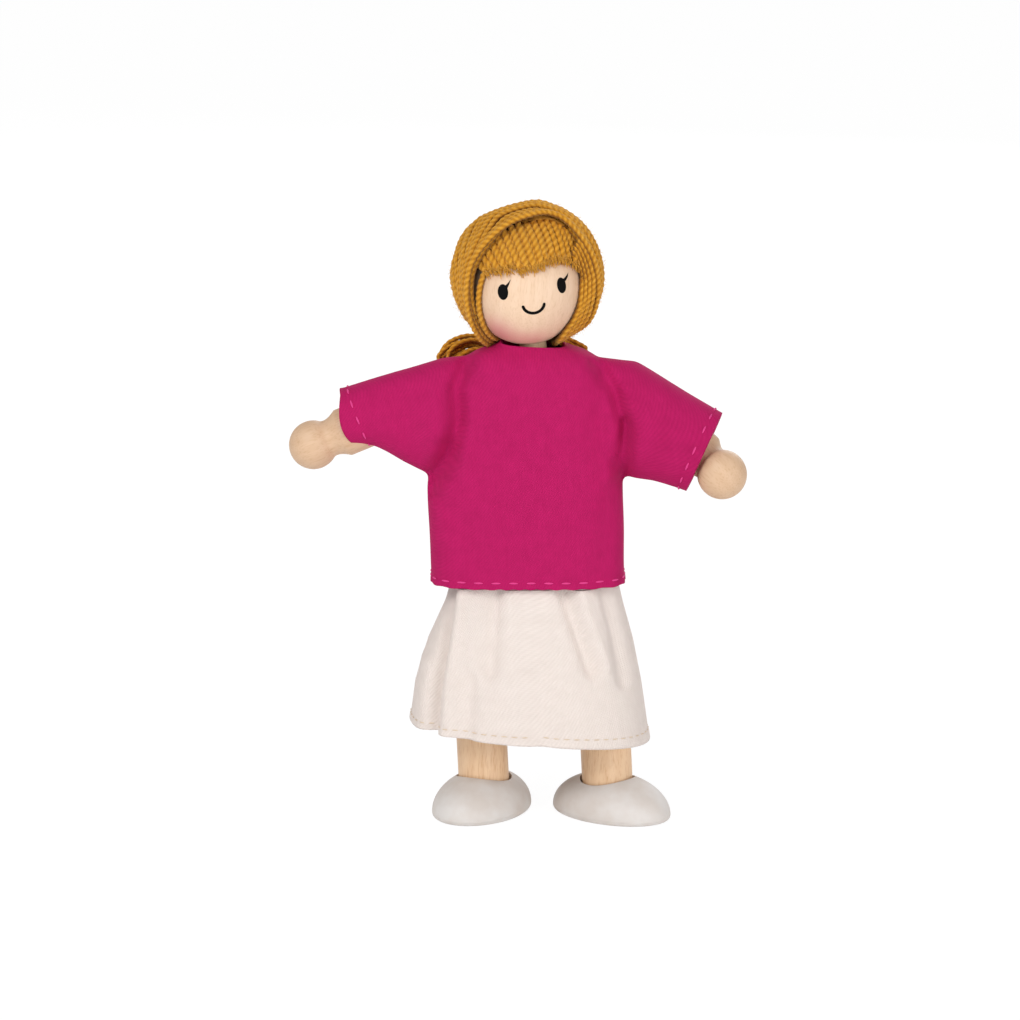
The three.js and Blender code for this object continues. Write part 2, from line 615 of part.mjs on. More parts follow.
// Two shallow creases run down from each armpit, where the sleeve pulls on the body
const creaseAngles = [-0.62, -2.35];
function shirtCrease(z) {
  const depth = 0.9 * Math.exp(-(((z - SHOULDER_HEIGHT + 12) / 14) ** 2));
  return (angle) => {
    const at = angle > Math.PI ? angle - 2 * Math.PI : angle;
    return -creaseAngles.reduce((sum, crease) => sum + depth * Math.exp(-(((at - crease) / 0.16) ** 2)), 0);
  };
}

// Each ring of a sleeve goes round the arm, at steps from the shoulder's pivot
const byShoulder = (side) => (x, y, z) => vec(side * SHOULDER_SPACING / 2 + x, y, SHOULDER_HEIGHT + z);
const byRight = byShoulder(-1);
const byLeft = byShoulder(1);
const sleeveRuns = {
  right: [
    { top: byRight(8.5, 0, 9.4), bottom: byRight(8, 0, -16), half: ARM_RADIUS + 2.2 },
    { top: byRight(0, 0, 8), bottom: byRight(-1.5, 0, -19.4), half: ARM_RADIUS + 3.4 },
    { top: byRight(-10, 0, 5), bottom: byRight(-9, 0, -16.7), half: ARM_RADIUS + 2.2 },
    { top: byRight(-22.6, 0, 0.8), bottom: byRight(-15.5, 0, -13.1), half: ARM_RADIUS + 1.3 },
  ],
  left: [
    { top: byLeft(-10, 0, 8.2), bottom: byLeft(-9, 0, -16), half: ARM_RADIUS + 2.2 },
    { top: byLeft(1, 0, 6.8), bottom: byLeft(-2.6, -1.4, -19.2), half: ARM_RADIUS + 3.4 },
    { top: byLeft(9.6, -5.6, 2.6), bottom: byLeft(5, -9.4, -18.8), half: ARM_RADIUS + 2.6 },
    { top: byLeft(20, -13, -2.4), bottom: byLeft(12.6, -17.4, -18.4), half: ARM_RADIUS + 1.5 },
  ],
};

function sleeveRings(side) {
  const run = sleeveRuns[side];
  return run.map((ring, i) => {
    const middleOf = ({ top, bottom }) => top.clone().add(bottom).multiplyScalar(0.5);
    const along = middleOf(run[Math.min(i + 1, 3)]).sub(middleOf(run[Math.max(i - 1, 0)])).normalize();
    return ovalRing({ ...ring, along, square: 2.8 });
  });
}

function shirt() {
  const bodyRing = (level) => levelRing({ ...level, square: 3.4, fold: shirtCrease(level.z) }, 34);
  const body = shirtLevels.map(bodyRing);
  const sleeves = ["right", "left"].map(sleeveRings);
  const outer = joined([loft(body), ...sleeves.map(loft)]);
  const inner = joined([
    loft(hollowRings(body, CLOTH, true, true)),
    ...sleeves.map((rings) => loft(hollowRings(rings, CLOTH, false, true))),
  ]);
  const pieces = outer.subtract(inner).decompose().sort((a, b) => b.volume() - a.volume());
  return meshOf("shirt", pieces[0], material(0xc41c64, 0.85));
}

// Skirt: gathered on an elastic at the waist, flaring to the hem in a few soft folds
const skirtLevels = [
  { z: SKIRT_TOP, left: -15.7, right: 15.7, front: -9.7, back: 9.7, square: 4, depth: 0 },
  { z: 62.5, left: -17, right: 16.8, front: -9.9, back: 9.9, square: 4, depth: 0 },
  { z: SHIRT_HEM + 1, left: -19, right: 18, front: -10.2, back: 10.2, square: 4, depth: 0 },
  { z: 48, left: -20.6, right: 19.2, front: -11.6, back: 11.6, square: 3.6, depth: 0.3 },
  { z: 40, left: -23, right: 21.8, front: -14, back: 13.6, square: 3, depth: 0.7 },
  { z: 30, left: -25.8, right: 23.4, front: -17, back: 16, square: 2.6, depth: 1.1 },
  { z: SKIRT_HEM, left: -27.6, right: 25, front: -19.6, back: 18.4, square: 2.4, depth: 1.5 },
];
const foldAngles = [-2.55, -1.9, -1.15, -0.55, 0.5, 1.2, 1.95, 2.6];

function skirtFold(depth) {
  return (angle) => {
    const at = angle > Math.PI ? angle - 2 * Math.PI : angle;
    const ridge = (fold) => Math.exp(-(((at - fold) / 0.17) ** 2)) - 0.35;
    return depth * foldAngles.reduce((sum, fold) => sum + ridge(fold) / 2, 0.7);
  };
}

const hemTilt = (angle) => -2 * Math.cos(angle);

function skirtRings() {
  return skirtLevels.map((level) => {
    const drop = level.z === SKIRT_HEM ? hemTilt : () => 0;
    return levelRing({ ...level, fold: skirtFold(level.depth), drop }, 44);
  });
}

function skirt() {
  const rings = skirtRings();
  const shell = loft(rings).subtract(loft(hollowRings(rings, CLOTH, true, true)));
  return meshOf("skirt", shell, material(0xeee6de, 0.85));
}

// Waist elastic: a flat band between the skirt's casing and the torso
function waistElastic() {
  const bottom = SKIRT_TOP - 1 - ELASTIC_HEIGHT;
  const sections = [[bottom, skirtLevels[1]], [SKIRT_TOP - 1, skirtLevels[0]]];
  const gap = CLOTH + RUNNING_GAP;
  const rings = sections.map(([z, level]) => insetRing(levelRing({ ...level, z }), gap));
  const band = loft(rings).subtract(loft(hollowRings(rings, ELASTIC_THICKNESS, true, true)));
  return meshOf("waist_elastic", band, material(0xf4f2ee, 0.8));
}

// Back closure: a hook tape and a loop tape that meet inside the shirt's centre-back overlap
function closureTape(name, order, color) {
  const back = shirtLevels[3].back - CLOTH - RUNNING_GAP;
  const near = back - order * (TAPE_THICKNESS + RUNNING_GAP);
  const sides = [TAPE_OFF_CENTRE - TAPE_WIDTH / 2, TAPE_OFF_CENTRE + TAPE_WIDTH / 2];
  const ends = [TAPE_BOTTOM, TAPE_BOTTOM + TAPE_LENGTH - 2 * order];
  const tape = block(sides, [near - TAPE_THICKNESS, near], ends);
  return meshOf(name, tape, material(color, 0.9));
}

function pin(name, axis, radius, from, to, centre) {
  return meshOf(name, rod(axis, radius, from, to, centre), material(0xc9a27c, 0.6));
}

// Assembly
const figure = new THREE.Group();
figure.add(torso());
const neckPinHalf = TORSO_HALF_DEPTH - 0.3;
figure.add(pin("neck_pin", "y", NECK_PIN_RADIUS, -neckPinHalf, neckPinHalf, [0, NECK_PIVOT_HEIGHT]));
const axleHalf = HIP_HALF_WIDTH - 0.5;
const axle = pin("hip_axle", "x", HIP_AXLE_RADIUS, -axleHalf, axleHalf, [0, HIP_HEIGHT]);
axle.material = material(STEEL, 0.35, 1);
figure.add(axle);

const neckJoint = new THREE.Group();
neckJoint.position.set(0, 0, NECK_PIVOT_HEIGHT);
neckJoint.rotation.y = -rad(HEAD_TILT_DEG);
const headJoint = new THREE.Group();
headJoint.position.z = HEAD_ABOVE_PIVOT;
headJoint.rotation.z = rad(HEAD_TURN_DEG);
const headKeeper = pin("head_keeper_pin", "y", KEEPER_PIN_RADIUS,
  headKeeperStart + RUNNING_GAP, headKeeperEnd, headKeeperAt);
headJoint.add(head(), headKeeper, hairWrap(), hairFringe(), hairTie(), ponytail());
neckJoint.add(neckPeg(), headJoint);
figure.add(neckJoint);

for (const [name, side] of [["right", -1], ["left", 1]]) {
  const shoulder = new THREE.Group();
  shoulder.position.set(side * armPivotX, 0, SHOULDER_HEIGHT);
  shoulder.rotation.x = -rad(ARM_FORWARD_DEG[name]);
  const peg = shoulderPeg(`${name}_shoulder_peg`);
  peg.rotation.z = side < 0 ? Math.PI : 0;
  const pinHalf = ARM_RADIUS - 0.3;
  const limb = new THREE.Group();
  limb.rotation.y = -side * rad(ARM_RAISE_DEG[name]);
  limb.add(arm(`${name}_arm`));
  shoulder.add(peg, pin(`${name}_shoulder_pin`, "y", SHOULDER_PIN_RADIUS, -pinHalf, pinHalf, [0, 0]), limb);
  figure.add(shoulder);
  figure.add(pin(`${name}_shoulder_keeper_pin`, "y", KEEPER_PIN_RADIUS,
    TORSO_HALF_DEPTH - KEEPER_PIN_REACH, TORSO_HALF_DEPTH - 0.3,
    [side * shoulderGroove, SHOULDER_HEIGHT - keeperOffset(SHOULDER_PEG_RADIUS)]));

  const hip = new THREE.Group();
  hip.position.set(side * LEG_SPACING / 2, 0, HIP_HEIGHT);
  hip.rotation.set(-rad(LEG_SWING_DEG[name]), -rad(LEG_LEAN_DEG), 0);
  hip.add(leg(`${name}_leg`, side), footScrew(`${name}_foot_screw`));
  figure.add(hip);

  const down = vec(0, 0, -1).applyEuler(hip.rotation);
  const ankle = hip.position.clone().addScaledVector(down, (HIP_HEIGHT - socketMiddle) / -down.z);
  const shoe = foot(`${name}_foot`);
  shoe.position.set(ankle.x, ankle.y, 0);
  shoe.rotation.z = side * rad(TOE_OUT_DEG[name]);
  figure.add(shoe);
}

figure.add(shirt(), skirt(), waistElastic());
figure.add(closureTape("closure_hook_tape", 0, 0xb01a5a), closureTape("closure_loop_tape", 1, 0xd9d4cf));

// The frame's origin is the middle of the figure's footprint
figure.updateMatrixWorld(true);
const reach = new THREE.Box3().setFromObject(figure, true);
const dollhouse_figure = new THREE.Group();
figure.position.set(-(reach.min.x + reach.max.x) / 2, -(reach.min.y + reach.max.y) / 2, 0);
dollhouse_figure.add(figure);

export default dollhouse_figure;
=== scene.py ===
import json
import math
import random

import bmesh
import bpy
from mathutils import Matrix, Quaternion, Vector


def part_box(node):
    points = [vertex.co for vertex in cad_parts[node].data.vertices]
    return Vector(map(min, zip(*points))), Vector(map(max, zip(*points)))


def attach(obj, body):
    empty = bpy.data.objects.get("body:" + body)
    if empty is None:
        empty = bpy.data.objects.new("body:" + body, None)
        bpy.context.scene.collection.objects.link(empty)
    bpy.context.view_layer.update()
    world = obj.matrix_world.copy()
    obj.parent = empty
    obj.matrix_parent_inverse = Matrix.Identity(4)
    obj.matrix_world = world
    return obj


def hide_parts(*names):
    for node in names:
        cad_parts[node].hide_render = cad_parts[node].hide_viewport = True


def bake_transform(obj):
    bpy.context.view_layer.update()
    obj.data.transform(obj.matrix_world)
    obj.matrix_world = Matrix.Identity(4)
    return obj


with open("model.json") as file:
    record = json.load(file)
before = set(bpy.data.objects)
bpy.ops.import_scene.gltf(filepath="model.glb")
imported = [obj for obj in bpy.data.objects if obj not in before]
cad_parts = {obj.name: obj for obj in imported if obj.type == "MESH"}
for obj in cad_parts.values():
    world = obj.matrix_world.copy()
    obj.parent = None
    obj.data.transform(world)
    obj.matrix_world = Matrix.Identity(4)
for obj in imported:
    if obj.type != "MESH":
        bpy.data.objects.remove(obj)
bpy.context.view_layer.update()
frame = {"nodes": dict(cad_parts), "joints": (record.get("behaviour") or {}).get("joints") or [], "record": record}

# TORSO, NECK PEG AND SHOULDER PEGS
# The doll's body is a shaped block of pale maple with saw cuts for neck and hips. Turned pegs
# plug into it and swivel. All of it is sanded and given one thin clear coat.
MM = 0.001
low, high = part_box("torso")
CENTRE_LINE = Vector(((low.x + high.x) / 2, (low.y + high.y) / 2, 0))
# Millimetres from the doll's own centre line and the floor, to metres in the frame
STANDING = Matrix.Translation(CENTRE_LINE) @ Matrix.Scale(MM, 4)


def linear(code):
    channels = [int(code[i:i + 2], 16) / 255 for i in (1, 3, 5)]
    return [c / 12.92 if c <= 0.04045 else ((c + 0.055) / 1.055) ** 2.4 for c in channels] + [1]


def add(tree, kind, sockets=None, links=None, **settings):
    """A shader node with its values and links; a link from a node takes its first output."""
    made = tree.nodes.new("ShaderNode" + kind)
    for name, value in settings.items():
        setattr(made, name, value)
    for name, value in (sockets or {}).items():
        made.inputs[name].default_value = value
    for name, source in (links or {}).items():
        tree.links.new(getattr(source, "outputs", [source])[0], made.inputs[name])
    return made


def blank_material(name):
    finish = bpy.data.materials.new(name)
    finish.use_nodes = True
    finish.node_tree.nodes.clear()
    return finish, finish.node_tree


def maple(name, pale, fleck, along, coat=0.5):
    """Sanded maple: short darker flecks and faint growth bands along the grain, under a satin coat."""
    finish, tree = blank_material(name)
    place = add(tree, "TexCoord").outputs["Object"]
    turn = Vector(along).rotation_difference(Vector((0, 0, 1))).to_euler()
    laid = add(tree, "Mapping", {"Rotation": turn}, {"Vector": place})
    long_way = add(tree, "Mapping", {"Scale": (1, 1, 0.1)}, {"Vector": laid})
    # flecks about 0.3 mm across and 3 mm long
    flecks = add(tree, "TexNoise", {"Scale": 1 / (0.32 * MM), "Detail": 2}, {"Vector": long_way})
    fleck_part = add(tree, "MapRange", {1: 0.5, 2: 0.72}, {0: flecks})
    # growth bands about 2.4 mm apart
    bands = add(tree, "TexWave",
                {"Scale": 0.314 / (2.4 * MM), "Distortion": 5, "Detail": 2, "Detail Scale": 0.6},
                {"Vector": long_way}, bands_direction="X")
    both = add(tree, "Math", {1: 0.35}, {0: bands.outputs["Fac"], 2: fleck_part},
               operation="MULTIPLY_ADD")
    share = add(tree, "Math", {1: 0.62}, {0: both}, operation="MULTIPLY", use_clamp=True)
    colour = add(tree, "Mix", {6: linear(pale), 7: linear(fleck)}, {0: share}, data_type="RGBA")
    raised = add(tree, "Bump", {"Strength": 0.25, "Distance": 0.02 * MM}, {"Height": flecks})
    shader = add(tree, "BsdfPrincipled", {"Roughness": coat, "IOR": 1.5},
                 {"Base Color": colour.outputs[2], "Normal": raised})
    add(tree, "OutputMaterial", links={"Surface": shader})
    return finish


def in_scene(name, data):
    thing = bpy.data.objects.new(name, data)
    bpy.context.scene.collection.objects.link(thing)
    return thing


def dressed(node, finish, sharp_deg=35):
    """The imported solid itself, its triangles merged so that round faces shade smooth."""
    mesh = frame["nodes"][node].data.copy()
    bm = bmesh.new()
    bm.from_mesh(mesh)
    bmesh.ops.remove_doubles(bm, verts=bm.verts, dist=1e-7)
    bm.to_mesh(mesh)
    bm.free()
    mesh.materials.clear()
    mesh.materials.append(finish)
    mesh.shade_smooth()
    mesh.set_sharp_from_angle(angle=math.radians(sharp_deg))
    piece = in_scene(node + "_finished", mesh)
    body = next(b for b, members in frame["record"]["behaviour"]["bodies"].items() if node in members)
    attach(piece, body)
    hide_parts(node)


upright_maple = maple("sanded_maple_upright", "#E9CBA8", "#D3AC84", (0, 0, 1))
for node in ("torso", "neck_peg", "right_shoulder_peg", "left_shoulder_peg"):
    dressed(node, upright_maple)


# PINS AND AXLE
# Short birch dowels hold the neck, arms and head to their pegs. The hip axle is a plain
# bright steel rod that both legs hang on, and each foot is held by one steel screw.
birch_dowel = maple("cut_birch_dowel", "#D9B48C", "#B98B5F", (0, 1, 0), coat=0.6)
for node in ("neck_pin", "head_keeper_pin", "right_shoulder_pin", "left_shoulder_pin",
             "right_shoulder_keeper_pin", "left_shoulder_keeper_pin"):
    dressed(node, birch_dowel)

# bright zinc plating over drawn steel: a cool grey mirror blurred by fine marks
zinc_steel, tree = blank_material("zinc_plated_steel")
spot = add(tree, "TexCoord").outputs["Object"]
marks = add(tree, "TexNoise", {"Scale": 1 / (0.4 * MM)}, {"Vector": spot})
dullness = add(tree, "MapRange", {3: 0.24, 4: 0.42}, {0: marks})
metal = add(tree, "BsdfPrincipled", {"Base Color": linear("#B9BCC0"), "Metallic": 1},
            {"Roughness": dullness})
add(tree, "OutputMaterial", links={"Surface": metal})
for node in ("hip_axle", "right_foot_screw", "left_foot_screw"):
    dressed(node, zinc_steel)


# LEGS
# Two maple dowels, a shade browner than the turned parts, cut down at the top to a hinge
# tongue. They go loosely into the holes of the feet.
leg_dowel = maple("waxed_maple_dowel", "#F7D3AC", "#DDAC7C", (0.05, -0.03, 1), coat=0.45)
for node in ("right_leg", "left_leg"):
    dressed(node, leg_dowel)


# ARMS
# Each arm and hand is one turned maple piece: a forked end for the shoulder peg, a plain
# shaft, a cuff ridge, a wrist cove and a ball hand.
ARM_RADIUS = 5.4
ARM_REACH = 31.2
HAND_RADIUS = 5.45
WRIST_RADIUS = 4.2
CUFF_RIDGE = 7.1
COVE_DROP = 2.9
ARM_TONGUE = 4
ARM_PIN_HOLE_RADIUS = 1.3
SHOULDER_DOME = 5.5
RUNNING_GAP = 0.3
FORK_CUT_ABOVE = 10
FORK_CUT_BELOW = ARM_RADIUS + 0.2


def piece_from(bm, name, finish, sharp_deg=40):
    mesh = bpy.data.meshes.new(name)
    bm.to_mesh(mesh)
    bm.free()
    mesh.materials.append(finish)
    mesh.shade_smooth()
    mesh.set_sharp_from_angle(angle=math.radians(sharp_deg))
    return in_scene(name, mesh)


def healed(bm):
    """Joins the corners that touch and turns every face outward."""
    bmesh.ops.remove_doubles(bm, verts=bm.verts, dist=1e-4)
    bmesh.ops.recalc_face_normals(bm, faces=bm.faces)


def turned(profile, place, steps=64):
    """A profile of (radius, height) spun round the upright axis, then put in place."""
    bm = bmesh.new()
    corners = [bm.verts.new((radius, 0, height)) for radius, height in profile]
    rims = [bm.edges.new(pair) for pair in zip(corners, corners[1:])]
    bmesh.ops.spin(bm, geom=corners + rims, cent=(0, 0, 0), axis=(0, 0, 1), angle=2 * math.pi,
                   steps=steps, use_merge=True)
    healed(bm)
    bm.transform(place)
    return bm


def baked(piece):
    """The mesh that a piece's modifiers make."""
    bpy.context.view_layer.update()
    return bpy.data.meshes.new_from_object(piece.evaluated_get(bpy.context.evaluated_depsgraph_get()))


def carved(piece, cutters):
    """Cuts the cutters out of a piece and throws them away."""
    for cutter in cutters:
        cut = piece.modifiers.new("cut", "BOOLEAN")
        cut.operation = "DIFFERENCE"
        cut.solver = "EXACT"
        cut.object = cutter
    shaped = baked(piece)
    piece.modifiers.clear()
    piece.data = shaped
    for cutter in cutters:
        bpy.data.objects.remove(cutter)
    shaped.shade_smooth()
    shaped.set_sharp_from_angle(angle=math.radians(40))


def rod(radius, bottom, top, segments, place, finish):
    """A cutter: a straight round rod along Z, from bottom to top in mm, then put in place."""
    bm = bmesh.new()
    bmesh.ops.create_cone(bm, cap_ends=True, segments=segments, radius1=radius, radius2=radius,
                          depth=top - bottom)
    bmesh.ops.translate(bm, vec=(0, 0, (top + bottom) / 2), verts=bm.verts)
    bm.transform(place)
    return piece_from(bm, "rod_cut", finish)


def joint_place(joint):
    found = next(j for j in frame["joints"] if j["name"] == joint)
    return Vector(found["pos_m"])


def arm_profile():
    """Down the arm: dome, shaft, cuff ridge, a cove that curves to the hand, and the ball."""
    join_radius = math.sqrt(HAND_RADIUS ** 2 - COVE_DROP ** 2)
    ridge = -(ARM_REACH - CUFF_RIDGE)
    start = Vector((ARM_RADIUS, ridge))
    middle = Vector((2 * WRIST_RADIUS - (ARM_RADIUS + join_radius) / 2, ridge - COVE_DROP))
    end = Vector((join_radius, -ARM_REACH + COVE_DROP))
    cove = [start * (1 - t) ** 2 + middle * 2 * t * (1 - t) + end * t ** 2
            for t in (i / 14 for i in range(1, 14))]
    first = math.asin(COVE_DROP / HAND_RADIUS)
    hand = [first - i / 28 * (first + math.pi / 2) for i in range(29)]
    dome_rim = math.sqrt(SHOULDER_DOME ** 2 - ARM_RADIUS ** 2)
    dome = [math.pi / 2 - i / 12 * (math.pi / 2 - math.asin(dome_rim / SHOULDER_DOME)) for i in range(13)]
    return (
        [(SHOULDER_DOME * math.cos(a), SHOULDER_DOME * math.sin(a)) for a in dome]
        + [(ARM_RADIUS, ridge + 0.5), (ARM_RADIUS - 0.02, ridge)]
        + [(p.x, p.y) for p in cove]
        + [(HAND_RADIUS * math.cos(a), -ARM_REACH + HAND_RADIUS * math.sin(a)) for a in hand]
    )


# how far each arm is swung forward and raised in the photo
for side, sign, forward_deg, raise_deg in (("right", -1, 0, 67.3), ("left", 1, 52.7, 38.4)):
    shoulder = Matrix.Translation(joint_place(side + "_arm_swing")) @ Matrix.Scale(MM, 4)
    shoulder = shoulder @ Matrix.Rotation(-math.radians(forward_deg), 4, "X")
    place = shoulder @ Matrix.Rotation(-sign * math.radians(raise_deg), 4, "Y")
    grain = (place.to_3x3() @ Vector((0, 0, 1))).normalized()
    arm_maple = maple("turned_maple_%s_arm" % side, "#DCB998", "#CBA47F", grain)
    arm = piece_from(turned(arm_profile(), place), side + "_arm_turned", arm_maple)
    slot_half = ARM_TONGUE / 2 + RUNNING_GAP
    fork = bmesh.new()
    bmesh.ops.create_cube(fork, size=1)
    bmesh.ops.scale(fork, vec=(20, 2 * slot_half, FORK_CUT_ABOVE + FORK_CUT_BELOW), verts=fork.verts)
    bmesh.ops.translate(fork, vec=(0, 0, (FORK_CUT_ABOVE - FORK_CUT_BELOW) / 2), verts=fork.verts)
    fork.transform(place)
    crosswise = place @ Matrix.Rotation(math.pi / 2, 4, "X")
    carved(arm, [piece_from(fork, "fork_cut", arm_maple),
                 rod(ARM_PIN_HOLE_RADIUS, -10, 10, 32, crosswise, arm_maple)])
    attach(arm, side + "_arm")
    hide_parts(side + "_arm")


# FEET
# Each foot is half a wooden egg with a flat sole, bored for the leg and dipped in matte
# off-white paint. The paint evens out the grain and leaves a soft rim at the sole.
FOOT_LENGTH = 30
FOOT_WIDTH = 20.6
FOOT_HEIGHT = 9.2
SOLE_EDGE = 0.9
FOOT_HEEL_SHIFT = 1.2
FOOT_SOCKET_FLOOR = 3.6
FOOT_SOCKET_RADIUS = 6.3
SCREW_HOLE_RADIUS = 2.02
SCREW_HEAD_HOLE_RADIUS = 3.42
SCREW_HEAD_DEPTH = 2.2

foot_paint, tree = blank_material("matte_offwhite_paint_on_wood")
spot = add(tree, "TexCoord").outputs["Object"]
# the brushed coat clouds softly over 6 mm and keeps a fine 0.2 mm tooth
clouds = add(tree, "TexNoise", {"Scale": 1 / (6 * MM), "Detail": 3}, {"Vector": spot})
tooth = add(tree, "TexNoise", {"Scale": 1 / (0.3 * MM), "Detail": 2}, {"Vector": spot})
shade = add(tree, "MapRange", {1: 0.35, 2: 0.65}, {0: clouds})
paint = add(tree, "Mix", {6: linear("#DFDAD6"), 7: linear("#D6CDC6")}, {0: shade}, data_type="RGBA")
toothed = add(tree, "Bump", {"Strength": 0.35, "Distance": 0.03 * MM}, {"Height": tooth})
coat = add(tree, "BsdfPrincipled", {"Roughness": 0.62, "IOR": 1.48},
           {"Base Color": paint.outputs[2], "Normal": toothed})
add(tree, "OutputMaterial", links={"Surface": coat})


def foot_profile():
    """From the sole's middle out, round its edge, and up the dome."""
    half = FOOT_LENGTH / 2
    corner = [math.pi / 2 * i / 5 for i in range(6)]
    sole = [(half - SOLE_EDGE + SOLE_EDGE * math.sin(a) * 0.98, SOLE_EDGE * (1 - math.cos(a)) * 0.98)
            for a in corner]
    dome = [math.pi / 2 * i / 32 for i in range(33)]
    return ([(0, 0)] + sole
            + [(half * math.cos(a), SOLE_EDGE + (FOOT_HEIGHT - SOLE_EDGE) * math.sin(a)) for a in dome])


for side, sign, toe_out_deg in (("right", -1, 24), ("left", 1, 49)):
    place = Matrix.Translation(joint_place(side + "_foot_turn")) @ Matrix.Scale(MM, 4)
    place = place @ Matrix.Rotation(sign * math.radians(toe_out_deg), 4, "Z")
    egg = turned(foot_profile(), Matrix.Translation((0, -FOOT_HEEL_SHIFT, 0))
                 @ Matrix.Diagonal((FOOT_WIDTH / FOOT_LENGTH, 1, 1, 1)), steps=96)
    egg.transform(place)
    foot = piece_from(egg, side + "_foot_painted", foot_paint)
    bores = ((FOOT_SOCKET_RADIUS, FOOT_SOCKET_FLOOR, 20), (SCREW_HOLE_RADIUS, -1, 20),
             (SCREW_HEAD_HOLE_RADIUS, -1, SCREW_HEAD_DEPTH))
    carved(foot, [rod(radius, bottom, top, 48, place, foot_paint) for radius, bottom, top in bores])
    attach(foot, side + "_foot")
    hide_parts(side + "_foot")


# HEAD
# A turned maple ball, bored underneath for the neck peg. The coat is satin. Pink light reflected up
# from the shirt is painted into the colour low on the right cheek and under the chin.
HEAD_RADIUS = 12.55
HEAD_BORE_RADIUS = 3.3
HEAD_BORE_TOP = -3.55
HEAD_TILT_DEG = 6.8
HEAD_TURN_DEG = 6
# Millimetres from the head's centre, face towards -Y, to metres in the frame
HEAD = (Matrix.Translation(joint_place("head_turn")) @ Matrix.Scale(MM, 4)
        @ Matrix.Rotation(-math.radians(HEAD_TILT_DEG), 4, "Y")
        @ Matrix.Rotation(math.radians(HEAD_TURN_DEG), 4, "Z"))

head_maple = maple("turned_maple_head", "#EDCDB0", "#DFBB97", (0.1, 0.15, 1))
tree = head_maple.node_tree
shader = next(n for n in tree.nodes if n.type == "BSDF_PRINCIPLED")
wood_colour = shader.inputs["Base Color"].links[0].from_socket
spot = next(n for n in tree.nodes if n.type == "TEX_COORD").outputs["Object"]
# each patch of painted pink light reflected from the shirt: its middle from the head's centre, its reach in mm and
# its strength
for at, reach, strength in (((-7.6, -6.0, -8.6), 7.5, 0.75), ((-1.0, -7.0, -11.0), 6, 0.5)):
    away = add(tree, "VectorMath", {1: HEAD @ Vector(at)}, {0: spot}, operation="DISTANCE")
    painted_bounce_pink = add(tree, "MapRange", {1: 0, 2: reach * MM, 3: strength, 4: 0},
                {0: away.outputs["Value"]}, interpolation_type="SMOOTHSTEP")
    bounce_tinted_colour = add(tree, "Mix", {7: linear("#D98A8A")}, {0: painted_bounce_pink, 6: wood_colour}, data_type="RGBA")
    wood_colour = bounce_tinted_colour.outputs[2]
tree.links.new(wood_colour, shader.inputs["Base Color"])

bore_mouth = math.acos(HEAD_BORE_RADIUS / HEAD_RADIUS)
ball_profile = [(0, HEAD_BORE_TOP), (HEAD_BORE_RADIUS, HEAD_BORE_TOP)]
ball_profile += [(HEAD_RADIUS * math.cos(a), HEAD_RADIUS * math.sin(a))
                 for a in (-bore_mouth + i / 72 * (math.pi / 2 + bore_mouth) for i in range(73))]
head = piece_from(turned(ball_profile, HEAD, steps=96), "head_ball", head_maple)
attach(head, "head")
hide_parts("head")


# FACE PRINT
# Two oval eyes, each with one lash, and a small smile. They are pad printed in black ink, which
# lies on the wood as a film too thin to feel and shines a little more than the coat.
ink, tree = blank_material("pad_printed_black_ink")
film = add(tree, "BsdfPrincipled", {"Base Color": linear("#060505"), "Roughness": 0.6, "IOR": 1.2})
add(tree, "OutputMaterial", links={"Surface": film})
INK_LIFT = 0.03
EYE_HALF_WIDTH, EYE_HALF_HEIGHT = 1.25, 1.75
SMILE_HALF_STROKE = 0.36


def on_face(across_deg, up_deg, right_mm, up_mm):
    """A point on the ball, given by angles from straight ahead and a step in mm on its skin."""
    a, e = math.radians(across_deg), math.radians(up_deg)
    out = Vector((math.sin(a) * math.cos(e), -math.cos(a) * math.cos(e), math.sin(e)))
    right = Vector((math.cos(a), math.sin(a), 0))
    point = out * HEAD_RADIUS + right * right_mm + out.cross(-right) * -up_mm
    return point.normalized() * (HEAD_RADIUS + INK_LIFT)


def printed(outline, name):
    """An outline of points on the ball, filled with ink."""
    bm = bmesh.new()
    face = bm.faces.new([bm.verts.new(point) for point in outline])
    bmesh.ops.triangulate(bm, faces=[face])
    bmesh.ops.subdivide_edges(bm, edges=bm.edges, cuts=2, use_grid_fill=True)
    for vert in bm.verts:
        vert.co = vert.co.normalized() * (HEAD_RADIUS + INK_LIFT)
    bmesh.ops.recalc_face_normals(bm, faces=bm.faces)
    if sum(f.normal.dot(f.calc_center_median()) for f in bm.faces) < 0:
        bmesh.ops.reverse_faces(bm, faces=bm.faces)
    bm.transform(HEAD)
    film_piece = piece_from(bm, name, ink)
    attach(film_piece, "head")


def bent(root, bend, tip, count):
    """Points on the curve that leaves root towards bend and goes on to tip, in sixths of the way."""
    return [root.lerp(bend, t).lerp(bend.lerp(tip, t), t) for t in (i / 6 for i in range(count))]


# (across, up) of each eye in degrees on the ball, and its lash's tip in mm from the eye's middle
for side, across, up, tip in (("right", -29.6, 6.8, (1.95, 2.75)), ("left", 33.4, 5.3, (3.0, 2.5))):
    oval = [on_face(across, up, EYE_HALF_WIDTH * math.cos(t), EYE_HALF_HEIGHT * math.sin(t))
            for t in (2 * math.pi * i / 40 for i in range(40))]
    printed(oval, side + "_eye")
    # a thorn that leaves the oval's upper side and bends up to its tip
    lower = bent(Vector((0.95, 0.55)), Vector((tip[0] * 0.82, tip[1] * 0.5)), Vector(tip), 7)
    upper = bent(Vector((0.35, 1.2)), Vector((tip[0] * 0.62, tip[1] * 0.62)), Vector(tip), 6)
    thorn = lower + upper[::-1] + [Vector((0.2, 0.5))]
    printed([on_face(across, up, p.x, p.y) for p in thorn], side + "_lash")

